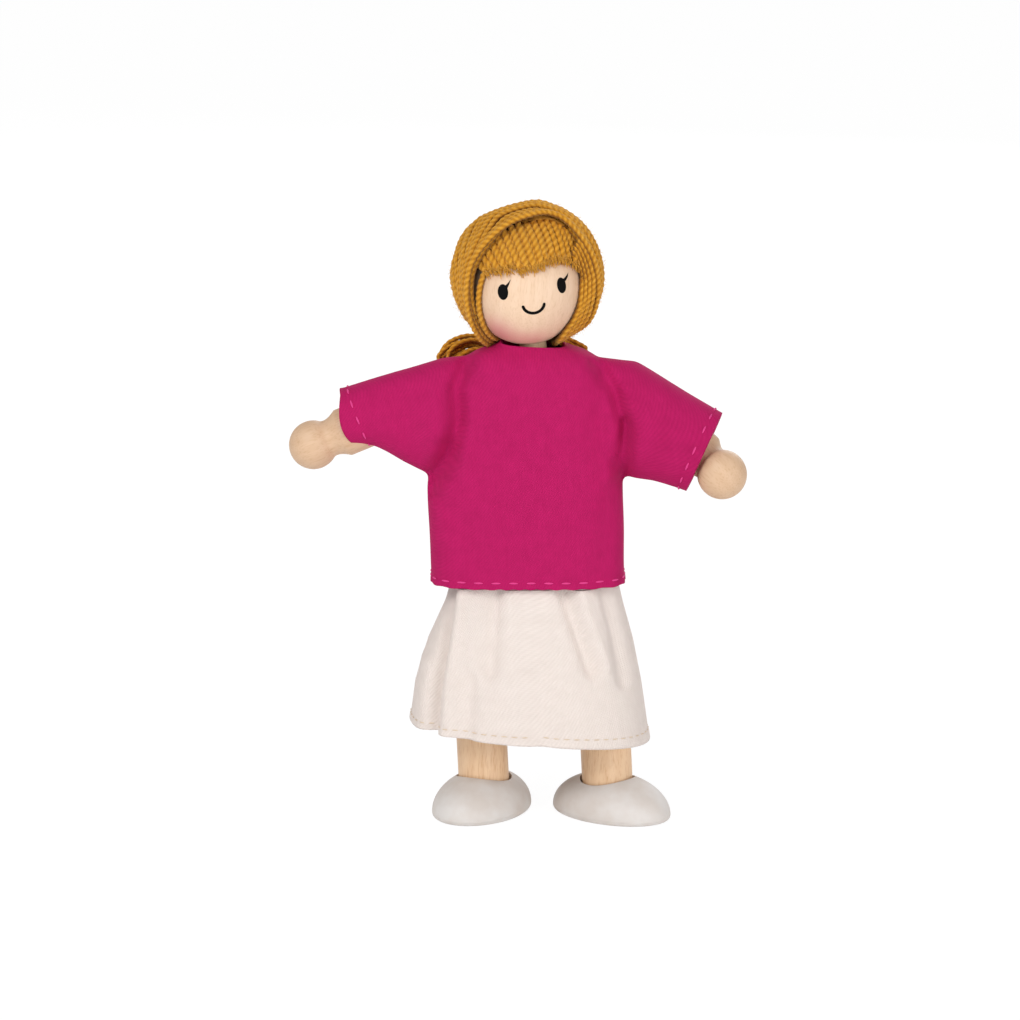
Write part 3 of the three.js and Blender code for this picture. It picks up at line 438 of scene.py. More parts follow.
smile_line = [Vector((2.45 * math.sin(t), 2.1 - 2.2 * math.cos(t))) for t in
              (math.radians(78) * (i / 8 - 1) for i in range(17))]
smile_last = len(smile_line) - 1
smile_edges = []
for way in (1, -1):
    edge = []
    for i, point in enumerate(smile_line):
        run = (smile_line[min(i + 1, smile_last)] - smile_line[max(i - 1, 0)]).normalized()
        edge.append(point + Vector((-run.y, run.x)) * SMILE_HALF_STROKE * way)
    smile_edges.append(edge)
caps = []
for tip, before in ((smile_line[-1], smile_line[-2]), (smile_line[0], smile_line[1])):
    run = tip - before
    heading = math.atan2(run.y, run.x)
    caps.append([tip + Vector((math.cos(heading + t), math.sin(heading + t))) * SMILE_HALF_STROKE
                 for t in (math.pi / 2 - math.pi * i / 6 for i in range(1, 6))])
smile_outline = smile_edges[0] + caps[0] + smile_edges[1][::-1] + caps[1]
printed([on_face(0.4, -17.5, p.x, p.y) for p in smile_outline], "smile")


# WIG
# Mustard two-ply yarn, wound over the head in a thick band from the nape, over the parting and
# back to the nape, and glued down. A cut fringe comes out from under the band.
YARN_RADIUS = 0.66
YARN_PITCH = 2.7
YARN_SIDES = 10
YARN_STEP = 0.38
PLY_BULGE = 0.13
END_PINCH = 2.5
HAIR_CENTRE = Vector((0.5, 0.8, 2.6))
HAIR_RADII = Vector((17, 16.5, 16.9))
NAPE = Vector((-0.05, 0.62, -0.78)).normalized()
chance = random.Random(7)

# acrylic wool: matte, golden where light comes through the fuzz, with painted shade in the groove between the two
# plies
yarn_wool, tree = blank_material("two_ply_acrylic_yarn")
uv = add(tree, "UVMap", uv_map="UVMap")
parts = add(tree, "SeparateXYZ", links={0: uv})
# the plies turn once in YARN_PITCH mm; U runs in mm and V once round
wound = add(tree, "Math", {1: -1 / YARN_PITCH}, {0: parts, 2: parts.outputs[1]}, operation="MULTIPLY_ADD")
phase = add(tree, "Math", {1: 4 * math.pi}, {0: wound}, operation="MULTIPLY")
crest = add(tree, "Math", links={0: phase}, operation="COSINE")
# fibres about 0.12 mm apart, drawn coarser than real ones so that they show; they turn with the plies
fibre_place = add(tree, "CombineXYZ", links={
    0: add(tree, "Math", {1: 1.6}, {0: parts}, operation="MULTIPLY"),
    1: add(tree, "Math", {1: 30}, {0: wound}, operation="MULTIPLY")})
fibres = add(tree, "TexNoise", {"Scale": 1, "Detail": 3, "Roughness": 0.65}, {"Vector": fibre_place})
patch = add(tree, "TexNoise", {"Scale": 1 / (4 * MM), "Detail": 1},
            {"Vector": add(tree, "TexCoord").outputs["Object"]})
ply_part = add(tree, "MapRange", {1: -1.0, 2: 0.9}, {0: crest})
fibre_part = add(tree, "MapRange", {1: 0.3, 2: 0.7}, {0: fibres})
lit = add(tree, "Mix", {6: linear("#C98418"), 7: linear("#F5C45A")}, {0: fibre_part}, data_type="RGBA")
patched = add(tree, "Mix", {7: linear("#DA961E")}, {0: patch, 6: lit.outputs[2]}, data_type="RGBA")
# painted shade: the groove between the two plies is darkened in the colour
groove_shaded_colour = add(tree, "Mix", {6: linear("#BC7C1A")},
                 {0: ply_part, 7: patched.outputs[2]}, data_type="RGBA")
# painted shade: the flank of a strand, where it meets the next one, is darkened in the colour
round_angle = add(tree, "Math", {1: 2 * math.pi}, {0: parts.outputs[1]}, operation="MULTIPLY")
facing_out = add(tree, "Math", links={0: round_angle}, operation="COSINE")
painted_flank_shade = add(tree, "MapRange", {1: -0.6, 2: 0.7}, {0: facing_out}, interpolation_type="SMOOTHSTEP")
yarn_colour = add(tree, "Mix", {6: linear("#7E4B0C")},
                  {0: painted_flank_shade, 7: groove_shaded_colour.outputs[2]}, data_type="RGBA")
both_heights = add(tree, "Math", {1: 0.4}, {0: ply_part, 2: fibres}, operation="MULTIPLY_ADD")
fuzz = add(tree, "Bump", {"Strength": 0.8, "Distance": 0.12 * MM}, {"Height": both_heights})
wool = add(tree, "BsdfPrincipled",
           {"Roughness": 0.9, "IOR": 1.5, "Specular IOR Level": 0.2, "Sheen Weight": 0.5,
            "Sheen Roughness": 0.5, "Sheen Tint": linear("#F8D898")},
           {"Base Color": yarn_colour.outputs[2], "Normal": fuzz})
add(tree, "OutputMaterial", links={"Surface": wool})


def eased(points, step):
    """Points about a step apart on a smooth line through the given ones."""
    line = []
    for i in range(len(points) - 1):
        a, b = points[max(i - 1, 0)], points[i]
        c, d = points[i + 1], points[min(i + 2, len(points) - 1)]
        count = max(1, round((c - b).length / step))
        for j in range(count):
            t = j / count
            line.append(0.5 * (2 * b + (c - a) * t + (2 * a - 5 * b + 4 * c - d) * t * t
                               + (3 * b - a - 3 * c + d) * t ** 3))
    line.append(points[-1].copy())
    return line


def sheet_grid(bm, columns, rows, place, span):
    """A grid with UVs of the given span, whose corners go to place(column, row)."""
    uv_map = bm.loops.layers.uv.get("UVMap") or bm.loops.layers.uv.new("UVMap")
    made = bmesh.ops.create_grid(bm, x_segments=columns, y_segments=rows, size=1, calc_uvs=True)["verts"]
    new_faces = {face for vert in made for face in vert.link_faces}
    for face in new_faces:
        for loop in face.loops:
            loop[uv_map].uv = ((loop.vert.co.x + 1) / 2 * span[0], (loop.vert.co.y + 1) / 2 * span[1])
    for vert in made:
        vert.co = place(round((vert.co.x + 1) / 2 * columns), round((vert.co.y + 1) / 2 * rows))


def lay_yarn(bm, route, radius=YARN_RADIUS, centre=Vector((0, 0, 0))):
    """One strand of two twisted plies along a route of points in mm, pinched shut at both ends."""
    line = eased(route, YARN_STEP)
    last = len(line) - 1
    chance.random()  # one draw a strand keeps all later draws in their order
    rings = []
    for i, point in enumerate(line):
        run = (line[min(i + 1, last)] - line[max(i - 1, 0)]).normalized()
        out = point - centre
        out = (out - run * out.dot(run)).normalized()
        side = run.cross(out)
        pinch = min(1, math.sqrt(min(i, last - i) / END_PINCH)) if 0 < i < last else 0
        rings.append((point, out, side, pinch))

    def place(column, row):
        point, out, side, pinch = rings[column]
        turn = 2 * math.pi * row / YARN_SIDES
        lobes = 1 + PLY_BULGE * math.cos(2 * turn - 4 * math.pi * (column * YARN_STEP) / YARN_PITCH)
        reach = radius * lobes * pinch
        return point + out * (math.cos(turn) * reach) + side * (math.sin(turn) * reach)

    sheet_grid(bm, last, YARN_SIDES, place, (last * YARN_STEP, 1))


def hair_piece(bm, name):
    healed(bm)
    bm.transform(HEAD)
    piece = piece_from(bm, name, yarn_wool, sharp_deg=180)
    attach(piece, "head")
    return piece


def at_hair(direction, share):
    """A point at a share of the way from the wig's middle to its oval outside."""
    n = direction.normalized()
    return HAIR_CENTRE + Vector((n.x * HAIR_RADII.x, n.y * HAIR_RADII.y, n.z * HAIR_RADII.z)) * share


def off_ball(point, gap=0.75):
    """Keeps a strand's middle clear of the wooden ball."""
    least = HEAD_RADIUS + gap
    return point if point.length >= least else point.normalized() * least


# The band's front edge, from the nape on the doll's right over the parting to the nape on its left
front_edge = [Vector(p) for p in (
    (-3.0, 9.5, -12.2), (-7.5, 4.5, -12.4), (-10.6, -0.5, -10.8), (-12.6, -4.2, -7.4), (-13.7, -6.4, -3.4),
    (-13.9, -7.9, 1.6), (-12.7, -8.7, 6.9), (-10.5, -9.1, 10.5), (-6.5, -9.1, 14.0), (-2.4, -8.5, 16.1),
    (1.9, -7.6, 17.1), (5.3, -6.4, 17.1), (8.6, -6.3, 15.8), (11.2, -7.1, 13.1), (13.5, -7.7, 9.2),
    (15.0, -7.4, 4.8), (15.3, -6.4, 0.0), (14.6, -5.2, -4.4), (12.6, -3.2, -8.6), (9.0, 0.6, -11.4),
    (5.5, 5.0, -12.6), (2.6, 9.5, -12.4))]
edge_line = eased(front_edge, 2.2)


def in_hair(point):
    """The direction and share that at_hair takes for a point."""
    away = point - HAIR_CENTRE
    scaled = Vector((away.x / HAIR_RADII.x, away.y / HAIR_RADII.y, away.z / HAIR_RADII.z))
    return scaled.normalized(), scaled.length


def wound_back(direction, share):
    """A direction from the wig's middle, turned a share of the way round to the nape."""
    return Quaternion().slerp(direction.rotation_difference(NAPE), share) @ direction


BAND_LOOPS = 27
band = bmesh.new()
strand_lines = []
for number in range(BAND_LOOPS):
    share = number / BAND_LOOPS
    sway, swell, drift = chance.uniform(0, 6.28), chance.uniform(-0.014, 0.008), chance.uniform(0, 6.28)
    route = []
    for i, point in enumerate(edge_line):
        direction, reach = in_hair(point)
        wander = 0.008 * math.sin(sway + i * 0.33)
        moved = wound_back(direction, max(0, share + wander))
        # the band stands fuller on the doll's left and over the crown
        full = (0.932 + 0.032 * max(0, direction.x) + 0.024 * max(0, direction.z) + swell
                + 0.007 * math.sin(drift + i * 0.45))
        height = reach + (full - reach) * min(1, number / 2)
        route.append(off_ball(at_hair(moved, height)))
    lay_yarn(band, route)
    strand_lines.append(route)
    # between two loops, a lower one that only shows over the crown
    route = []
    for i, point in enumerate(edge_line):
        if 0.2 < i / (len(edge_line) - 1) < 0.82:
            direction, reach = in_hair(point)
            moved = wound_back(direction, share + 0.5 / BAND_LOOPS)
            route.append(off_ball(at_hair(moved, 0.9)))
    if number > 0:
        lay_yarn(band, route)
hair_band = hair_piece(band, "hair_band_strands")
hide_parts("hair_wrap")

# strands that lie lower and fill the way from the band to the ball's sides
under = bmesh.new()
right_flank = [p for p in edge_line if p.x < -6 and p.z < 11]
for step_back in (1.6, 3.2, 4.8):
    lay_yarn(under, [off_ball(p * 0.985 + Vector((0, step_back, 0)), 0.8) for p in right_flank])
lay_yarn(under, [off_ball(p.normalized() * (HEAD_RADIUS + 0.6) + Vector((0.4, -0.5, 0)), 0.6)
                 for p in right_flank])
left_flank = [p for p in edge_line if p.x > 4 and p.z < 12]
hugging = eased([Vector(p) for p in (
    (10.4, -7.4, 8.0), (12.2, -5.2, 3.7), (11.9, -6.0, 0.3), (10.8, -6.6, -4.2), (8.8, -6.4, -7.8),
    (6.6, -5.6, -10.4), (5.0, -2.5, -12.7), (4.8, 2.0, -13.1), (3.6, 7.5, -12.9))], 2.2)
for nearness in (0.28, 0.52, 0.76, 1.0):
    route = []
    for i in range(13):
        outer = left_flank[round(i / 12 * (len(left_flank) - 1))]
        inner = hugging[round(i / 12 * (len(hugging) - 1))]
        route.append(off_ball(outer.lerp(inner, nearness), 0.8))
    lay_yarn(under, route)
    strand_lines.append(route)
hair_piece(under, "hair_side_strands")


def aimed(place, heading):
    """The matrix that lays a shape made along Z at a place, along a heading."""
    turn = Vector((0, 0, 1)).rotation_difference(heading).to_matrix().to_4x4()
    return Matrix.Translation(place) @ turn


# loose fibres that stand off the yarn and blur its outline
LOOSE_FIBRES = 2600
halo = bmesh.new()
halo.loops.layers.uv.new("UVMap")
for _ in range(LOOSE_FIBRES):
    line = chance.choice(strand_lines)
    i = chance.randrange(1, len(line) - 1)
    run = (line[i + 1] - line[i - 1]).normalized()
    root = line[i].lerp(line[i + 1], chance.random())
    out = root.normalized()
    lean = Vector([chance.gauss(0, 0.5) for _ in range(3)])
    heading = (run * chance.choice((-1, 1)) + out * chance.uniform(0.1, 0.7) + lean).normalized()
    length = chance.uniform(0.8, 1.9)
    root = root + out * (YARN_RADIUS * 0.8)
    made = bmesh.ops.create_cone(halo, segments=3, radius1=0.035, radius2=0.015, depth=length)["verts"]
    bmesh.ops.transform(halo, matrix=aimed(root + heading * length / 2, heading), verts=made)
hair_piece(halo, "hair_loose_fibres")


def everything(bm):
    return list(bm.verts) + list(bm.edges) + list(bm.faces)


# a bed of the same wool under the strands, so that no wood shows between them; its darker browns are painted shade
# for the gaps between the strands
bed = bmesh.new()
bed.from_mesh(frame["nodes"]["hair_wrap"].data)
bmesh.ops.remove_doubles(bed, verts=bed.verts, dist=1e-7)
bed.transform(HEAD.inverted())
bmesh.ops.bisect_plane(bed, geom=everything(bed), plane_co=(0, -3, 8), plane_no=(0, -1, -0.55),
                       clear_outer=True)
for vert in bed.verts:
    from_middle = vert.co - HAIR_CENTRE
    drawn_in = HAIR_CENTRE + from_middle * (0.925 - 0.04 * max(0, from_middle.normalized().y))
    vert.co = off_ball(drawn_in, 0.1)
bed.transform(HEAD)
yarn_bed_shade, tree = blank_material("yarn_bed_painted_shade")
fluff = add(tree, "TexNoise", {"Scale": 1 / (0.5 * MM), "Detail": 2},
            {"Vector": add(tree, "TexCoord").outputs["Object"]})
# painted shade: the bed's browns are darker than the yarn's, to stand for the shade between strands
bed_shade_colour = add(tree, "Mix", {6: linear("#8A5612"), 7: linear("#B57C20")}, {0: fluff}, data_type="RGBA")
yarn_bed_shade_surface = add(tree, "BsdfPrincipled", {"Roughness": 0.95}, {"Base Color": bed_shade_colour.outputs[2]})
add(tree, "OutputMaterial", links={"Surface": yarn_bed_shade_surface})
bed_piece = piece_from(bed, "hair_bed", yarn_bed_shade)
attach(bed_piece, "head")


# FRINGE
# Shorter strands of the same yarn lie on the forehead and slant towards the doll's left. They are
# cut off bluntly above the eyes, and the cut ends fray.
FRINGE = (  # each strand's top under the band, and its cut end, in mm from the head's centre
    ((-12.3, -7.9, 8.0), (-10.3, -6.6, 6.9)), ((-11.6, -8.6, 9.4), (-9.5, -7.9, 6.4)),
    ((-10.6, -8.8, 10.6), (-7.9, -9.3, 6.4)), ((-9.3, -9.0, 11.9), (-6.4, -10.3, 6.4)),
    ((-7.8, -9.0, 13.0), (-4.8, -11.0, 6.3)), ((-6.2, -8.9, 14.1), (-3.2, -11.4, 6.8)),
    ((-4.5, -8.7, 15.0), (-1.7, -11.8, 6.3)), ((-2.6, -8.3, 15.7), (-0.2, -12.0, 6.3)),
    ((-0.8, -7.9, 16.2), (1.4, -11.9, 6.3)), ((1.0, -7.4, 16.5), (2.9, -11.5, 6.7)),
    ((2.7, -7.0, 16.6), (4.3, -10.9, 7.2)), ((4.3, -6.5, 16.6), (5.7, -10.2, 7.2)),
    ((5.8, -6.3, 16.3), (7.1, -9.4, 7.0)), ((7.4, -6.2, 15.8), (8.4, -8.6, 6.6)),
    ((8.9, -6.4, 14.9), (9.7, -7.7, 6.0)), ((10.3, -6.9, 13.6), (10.9, -6.8, 5.2)),
    ((11.6, -7.2, 12.0), (12.0, -5.6, 4.6)), ((12.8, -7.4, 10.1), (12.6, -4.6, 4.6)),
)
FRAYED_FIBRES = 70
fringe = bmesh.new()
frayed = bmesh.new()
fringe_lines = []
for top, cut_end in FRINGE:
    start, finish_at = (Vector(top) + Vector((0, 2.4, 0.6))) * 0.93, Vector(cut_end)
    finish_at = finish_at.normalized() * (HEAD_RADIUS + 0.8 + chance.uniform(-0.1, 0.2))
    shift = Vector((chance.uniform(-0.25, 0.25), 0, chance.uniform(-0.35, 0.35)))
    finish_at += shift
    swing = start.rotation_difference(finish_at)
    route = []
    for i in range(7):
        t = i / 6
        reach = start.length + (finish_at.length - start.length) * t ** 0.75
        route.append((Quaternion().slerp(swing, t) @ start.normalized()) * max(reach, HEAD_RADIUS + 0.75))
    lay_yarn(fringe, route, radius=0.74)
    fringe_lines.append(route)
    down = (route[-1] - route[-2]).normalized()
    for _ in range(FRAYED_FIBRES):
        spread = Vector([chance.gauss(0, 0.36) for _ in range(3)])
        root = route[-1] - down * chance.uniform(0.0, 0.9) + spread
        tip = root + down * chance.uniform(0.5, 1.25) + Vector([chance.gauss(0, 0.3) for _ in range(3)])
        root, tip = off_ball(root, 0.3), off_ball(tip, 0.15)
        hair = tip - root
        made = bmesh.ops.create_cone(frayed, cap_ends=True, segments=3, radius1=0.13, radius2=0.07,
                                     depth=hair.length)["verts"]
        bmesh.ops.transform(frayed, matrix=aimed((root + tip) / 2, hair), verts=made)
# between each two strands a lower one, so that no gap goes down to the wood
for line, next_line in zip(fringe_lines, fringe_lines[1:]):
    lay_yarn(fringe, [off_ball((p + q) / 2 * 0.952, 0.3) for p, q in zip(line, next_line)], radius=0.8)
fringe_piece = hair_piece(fringe, "hair_fringe_strands")
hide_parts("hair_fringe")
frayed.loops.layers.uv.new("UVMap")
hair_piece(frayed, "hair_fringe_frayed_ends")


# PONYTAIL AND ITS ELASTIC
# The strands meet low behind the neck, go through a small dark elastic and stand out to the
# doll's right in a few folded loops. A last short loop peeps out on the left.
TIE = Vector((-6.2, 13.0, -14.6))
FOLDED_LOOP = (
    (-9.2, 13.4, -13.8), (-13.5, 13.4, -12.4), (-17.6, 12.8, -12.9), (-20.0, 12.3, -14.4),
    (-20.2, 12.2, -15.6), (-18.2, 12.6, -15.9), (-13.8, 13.2, -14.6), (-9.6, 13.3, -15.0))
tail = bmesh.new()
for lift, depth, reach_out in ((0, 0, 1.0), (1.1, 0.5, 0.93), (-0.9, 0.3, 0.97), (0.3, -0.9, 0.85),
                               (0.2, 1.2, 0.8)):
    folded = [Vector((TIE.x + (x - TIE.x) * reach_out, y + depth, z + lift)) for x, y, z in FOLDED_LOOP]
    lay_yarn(tail, [Vector((-2.6, 9.6, -12.2)), Vector((-4.6, 11.8, -13.2 + 0.3 * lift)),
                    TIE + Vector((0, 0.4 * depth, 0.3 * lift)), *folded,
                    TIE + Vector((0.4, -0.3 * depth, -0.5))],
             radius=0.52, centre=Vector((-12, 13, -30)))
for lift in (0, 0.8):
    lay_yarn(tail, [Vector((-3.4, 11.2, -12.9)), Vector((1.0, 11.6, -13.1 + lift)),
                    Vector((5.6, 10.2, -13.8 + lift)), Vector((9.2, 8.4, -15.2 + lift)),
                    Vector((12.2, 7.4, -17.2 + lift)), Vector((10.8, 10.0, -16.8)),
                    Vector((4.0, 12.2, -15.6))],
             radius=0.5, centre=Vector((0, 11, -30)))
tail_piece = hair_piece(tail, "ponytail_loops")
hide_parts("ponytail")

# a covered elastic: ribbed black-grey thread round a rubber core
elastic_cover, tree = blank_material("covered_elastic_dark")
spot = add(tree, "TexCoord").outputs["Object"]
rib = add(tree, "TexWave", {"Scale": 0.314 / (0.45 * MM), "Distortion": 1}, {"Vector": spot})
elastic_colour = add(tree, "Mix", {6: linear("#2C2C30"), 7: linear("#4A4A50")},
                     {0: rib.outputs["Fac"]}, data_type="RGBA")
cover = add(tree, "BsdfPrincipled", {"Roughness": 0.75}, {"Base Color": elastic_colour.outputs[2]})
add(tree, "OutputMaterial", links={"Surface": cover})
dressed("hair_tie", elastic_cover, sharp_deg=180)


# SHIRT
# Magenta cotton twill. Front and back are each cut in one with the sleeves, joined along
# shoulders and sides, turned under at hem and sleeve ends and stitched in a lighter thread.
CLOTH = 0.7
SHIRT_HEM = 53.6
SHIRT_NECK = 107.2
SHIRT_RING = 64
SHIRT_SQUARENESS = 3.4
SLEEVE_RING = 48
SLEEVE_SQUARENESS = 2.3
SHIRT_VOXEL = 0.6
SMOOTHING_PASSES = 6
shirt_levels = (  # height, left, right, front, back
    (44, -23.5, 19.6, -11.9, 12.5), (SHIRT_HEM, -23.5, 19.6, -11.9, 12.5), (64, -24.0, 19.4, -11.4, 12.2),
    (75, -24.4, 19.2, -10.9, 12.0), (88, -22.5, 18.4, -10.3, 11.4), (96, -19.5, 17.4, -9.7, 10.2),
    (102, -16.6, 15.4, -8.8, 8.8), (104.2, -15.2, 12.6, -7.4, 7.2), (105.4, -13.4, 10.2, -6.1, 5.9),
    (106.2, -10.8, 7.8, -5.2, 5.0), (SHIRT_NECK, -8.0, 5.0, -4.4, 4.0), (109, -7.6, 4.6, -4.0, 3.6))
sleeve_runs = {  # top, bottom, half depth
    "right": ((Vector((-12.5, 0, 104.6)), Vector((-13, 0, 80)), 7.6),
              (Vector((-21, 0, 103.4)), Vector((-22.5, 0, 76.6)), 8.8),
              (Vector((-31, 0, 100.6)), Vector((-30, 0, 80.4)), 7.8),
              (Vector((-43.6, 0, 96.6)), Vector((-36.3, 0, 84.4)), 6.9)),
    "left": ((Vector((10, 0, 104.2)), Vector((12, 0, 80)), 7.6),
             (Vector((21.4, 0, 103.0)), Vector((18.4, -1.4, 77.2)), 8.8),
             (Vector((30.4, -5.6, 98.6)), Vector((25.6, -9.4, 77.8)), 8.2),
             (Vector((40.8, -13, 93.6)), Vector((33.0, -17.4, 77.0)), 7.2)),
}
# the loft runs on past the last ring and is cut to the sleeve's end
SLEEVE_OVERRUN = {"right": 5, "left": 10}
# a point of each sleeve's end and the way it faces
sleeve_ends = {
    "right": (Vector((-40.6, 0, 88.4)), Vector((-0.93, 0, -0.368))),
    "left": (Vector((37.1, -12, 85.3)), Vector((0.905, -0.15, -0.398))),
}


def squared(value, squareness):
    return math.copysign(abs(value) ** (2 / squareness), value)


def skin(rings, bm):
    """A skin over rings of points in mm, closed round and open at both ends."""
    count = len(rings[0])
    sheet_grid(bm, len(rings) - 1, count, lambda column, row: rings[column][row % count], (1, 1))


def sleeve_rings(run, overrun):
    """The rings of a sleeve's loft; the last is moved on past the sleeve's end."""
    rings = []
    for i, (top, bottom, half) in enumerate(run):
        ahead, behind = run[min(i + 1, 3)], run[max(i - 1, 0)]
        along = ((ahead[0] + ahead[1]) - (behind[0] + behind[1])).normalized()
        middle, up = (top + bottom) / 2, (top - bottom) / 2
        side = up.cross(along).normalized() * half
        rings.append([middle + up * squared(math.cos(a), SLEEVE_SQUARENESS)
                      + side * squared(math.sin(a), SLEEVE_SQUARENESS)
                      for a in (2 * math.pi * j / SLEEVE_RING for j in range(SLEEVE_RING))])
        if i == 3:
            rings.append([point + along * overrun for point in rings[-1]])
    return rings


solid = bmesh.new()
skin([[Vector(((left + right) / 2 + (right - left) / 2 * squared(math.cos(a), SHIRT_SQUARENESS),
               (front + back) / 2 + (back - front) / 2 * squared(math.sin(a), SHIRT_SQUARENESS), z))
       for a in (2 * math.pi * j / SHIRT_RING for j in range(SHIRT_RING))]
      for z, left, right, front, back in shirt_levels], solid)
for side in ("right", "left"):
    skin(sleeve_rings(sleeve_runs[side], SLEEVE_OVERRUN[side]), solid)
bmesh.ops.remove_doubles(solid, verts=solid.verts, dist=1e-4)
bmesh.ops.holes_fill(solid, edges=[edge for edge in solid.edges if edge.is_boundary], sides=0)
bmesh.ops.recalc_face_normals(solid, faces=solid.faces)
solid.transform(STANDING)


def modified(bm, kind, **settings):
    """What one modifier makes of a mesh."""
    whole = piece_from(bm, "cloth_block", upright_maple)
    change = whole.modifiers.new("change", kind)
    for name, value in settings.items():
        setattr(change, name, value)
    mesh = baked(whole)
    bpy.data.objects.remove(whole)
    result = bmesh.new()
    result.from_mesh(mesh)
    bpy.data.meshes.remove(mesh)
    return result


# the outside of the three closed shapes as one even skin
shirt_skin = modified(solid, "REMESH", mode="VOXEL", voxel_size=SHIRT_VOXEL * MM)
shirt_skin.transform(STANDING.inverted())
for _ in range(SMOOTHING_PASSES):
    bmesh.ops.smooth_vert(shirt_skin, verts=shirt_skin.verts, factor=0.5, use_axis_x=True, use_axis_y=True,
                          use_axis_z=True)

# the valleys where each sleeve pulls on the body: (x, z) down the front, depth and width in mm
shirt_valleys = (
    (((-20.0, 85), (-22.8, 79), (-25.5, 74.5)), 1.8, 2.8),
    (((19.6, 91), (19.9, 84), (20.2, 77)), 1.7, 1.3),
    (((-15.5, 104), (-18.0, 98), (-17.4, 91), (-18.6, 84), (-22.2, 77.5), (-25, 74)), 2.3, 1.9),
    (((12.5, 104), (17.2, 97), (19.4, 90), (18.6, 83), (19.6, 76.5)), 2.3, 1.6),
    (((-13.0, 100), (-12.4, 92), (-13.6, 84)), 0.5, 2.2),
    (((-31, 96), (-28, 89), (-25.5, 82)), 0.8, 2.6),
    (((27, 95), (25.5, 87), (23.0, 80)), 0.6, 2.4),
    (((-21.5, 73), (-17, 68), (-14, 60)), 0.5, 2.4),
    (((17, 75), (15.2, 66), (14.6, 55)), 0.45, 2.2),
    (((-6, 70), (-2, 62), (1, 54)), 0.3, 3.0),
)
shirt_ridges = (
    (((15.2, 100), (16.0, 92), (15.4, 85), (16.0, 78)), 0.55, 1.3),
    (((-15.2, 98), (-14.8, 90), (-16.2, 82)), 0.4, 1.8),
    (((-22.5, 97), (-22, 90), (-23.5, 83)), 0.5, 1.8),
)


def valley_depth(x, z, lines):
    """How far a set of valleys pulls the cloth in at (x, z), in mm."""
    total = 0
    for line, depth, width in lines:
        nearest = 1e9
        for (x0, z0), (x1, z1) in zip(line, line[1:]):
            run = Vector((x1 - x0, z1 - z0))
            t = max(0, min(1, (Vector((x - x0, z - z0)).dot(run)) / run.length_squared))
            gap = Vector((x - x0 - run.x * t, z - z0 - run.y * t)).length
            ends = 1 if 0 < t < 1 else 0.8
            nearest = min(nearest, gap / ends)
        total += depth * math.exp(-(nearest / width) ** 2)
    return total


LAP_THICKNESS = 0.55
LAP_EDGE = -5.5
shirt_skin.normal_update()
for vert in shirt_skin.verts:
    x, y, z = vert.co
    n = vert.normal.copy()
    facing = min(1, max(0, -n.y) * 2) - 0.6 * min(1, max(0, n.y) * 2)
    sink = (valley_depth(x, z, shirt_valleys) - valley_depth(x, z, shirt_ridges)) * facing
    ripple = 0.12 * math.sin(0.31 * x + 0.17 * z) * math.sin(0.23 * z - 0.11 * x + 1.3)
    lap = 0
    if n.y > 0.3 and -12 < x < 10:
        # the left back edge laps over the right one
        lap = LAP_THICKNESS / (1 + math.exp(-(x - LAP_EDGE) / 0.22)) * max(0, 1 - max(0, x - 2) / 8)
    vert.co = vert.co + Vector((0, sink, 0)) + n * (lap - ripple)

# cut open at hem, neck and sleeve ends
for at, outward, reach in (((0, 0, SHIRT_HEM), (0, 0, -1), 0), ((0, 0, SHIRT_NECK), (0.05, -0.08, 1), 0),
                           *((*end, 28) for end in sleeve_ends.values())):
    near = [face for face in shirt_skin.faces if abs(face.calc_center_median().x) >= reach]
    edges = {edge for face in near for edge in face.edges}
    verts = {vert for face in near for vert in face.verts}
    bmesh.ops.bisect_plane(shirt_skin, geom=list(verts) + list(edges) + near, plane_co=at, plane_no=outward,
                           clear_outer=True)

# the right sleeve's end bulges out over the arm, low at the front
BULGE = 2.3
BULGE_LENGTH = 7
end_at, end_out = sleeve_ends["right"]
for vert in shirt_skin.verts:
    inside = (end_at - vert.co).dot(end_out)
    if vert.co.x < -30 and inside < BULGE_LENGTH:
        fall = min(1, max(0, (96 - vert.co.z) / 13.5))
        vert.co += end_out * (BULGE * math.sin(math.pi * fall) * (1 - inside / BULGE_LENGTH) ** 2)

# hems: the edge is turned under, thicker, and puckered between the stitches
STITCH_PITCH = 3.9
SHIRT_STITCH_LINE = 1.35
BODY_MIDDLE = -2
BODY_RADIUS = 18


def round_body(x, y):
    """How far round the body a point lies, in mm."""
    return math.atan2(y, x - BODY_MIDDLE) * BODY_RADIUS


shirt_skin.normal_update()
for vert in shirt_skin.verts:
    x, y, z = vert.co
    n = Vector((vert.normal.x, vert.normal.y, 0))
    if z < SHIRT_HEM + 2.6 and n.length > 0.2:
        n.normalize()
        up = z - SHIRT_HEM
        thick = 0.22 if up < 1.3 else 0.22 * max(0, 1 - (up - 1.3) / 0.8)
        wave = math.cos(2 * math.pi * round_body(x, y) / STITCH_PITCH)
        pucker = 0.08 * wave * max(0, 1 - up / 1.6)
        vert.co += n * (thick + pucker - 0.3 * math.exp(-((up - SHIRT_STITCH_LINE) / 0.35) ** 2))
        vert.co.z -= 0.16 * (0.5 + 0.5 * wave) * max(0, 1 - up / 1.2)


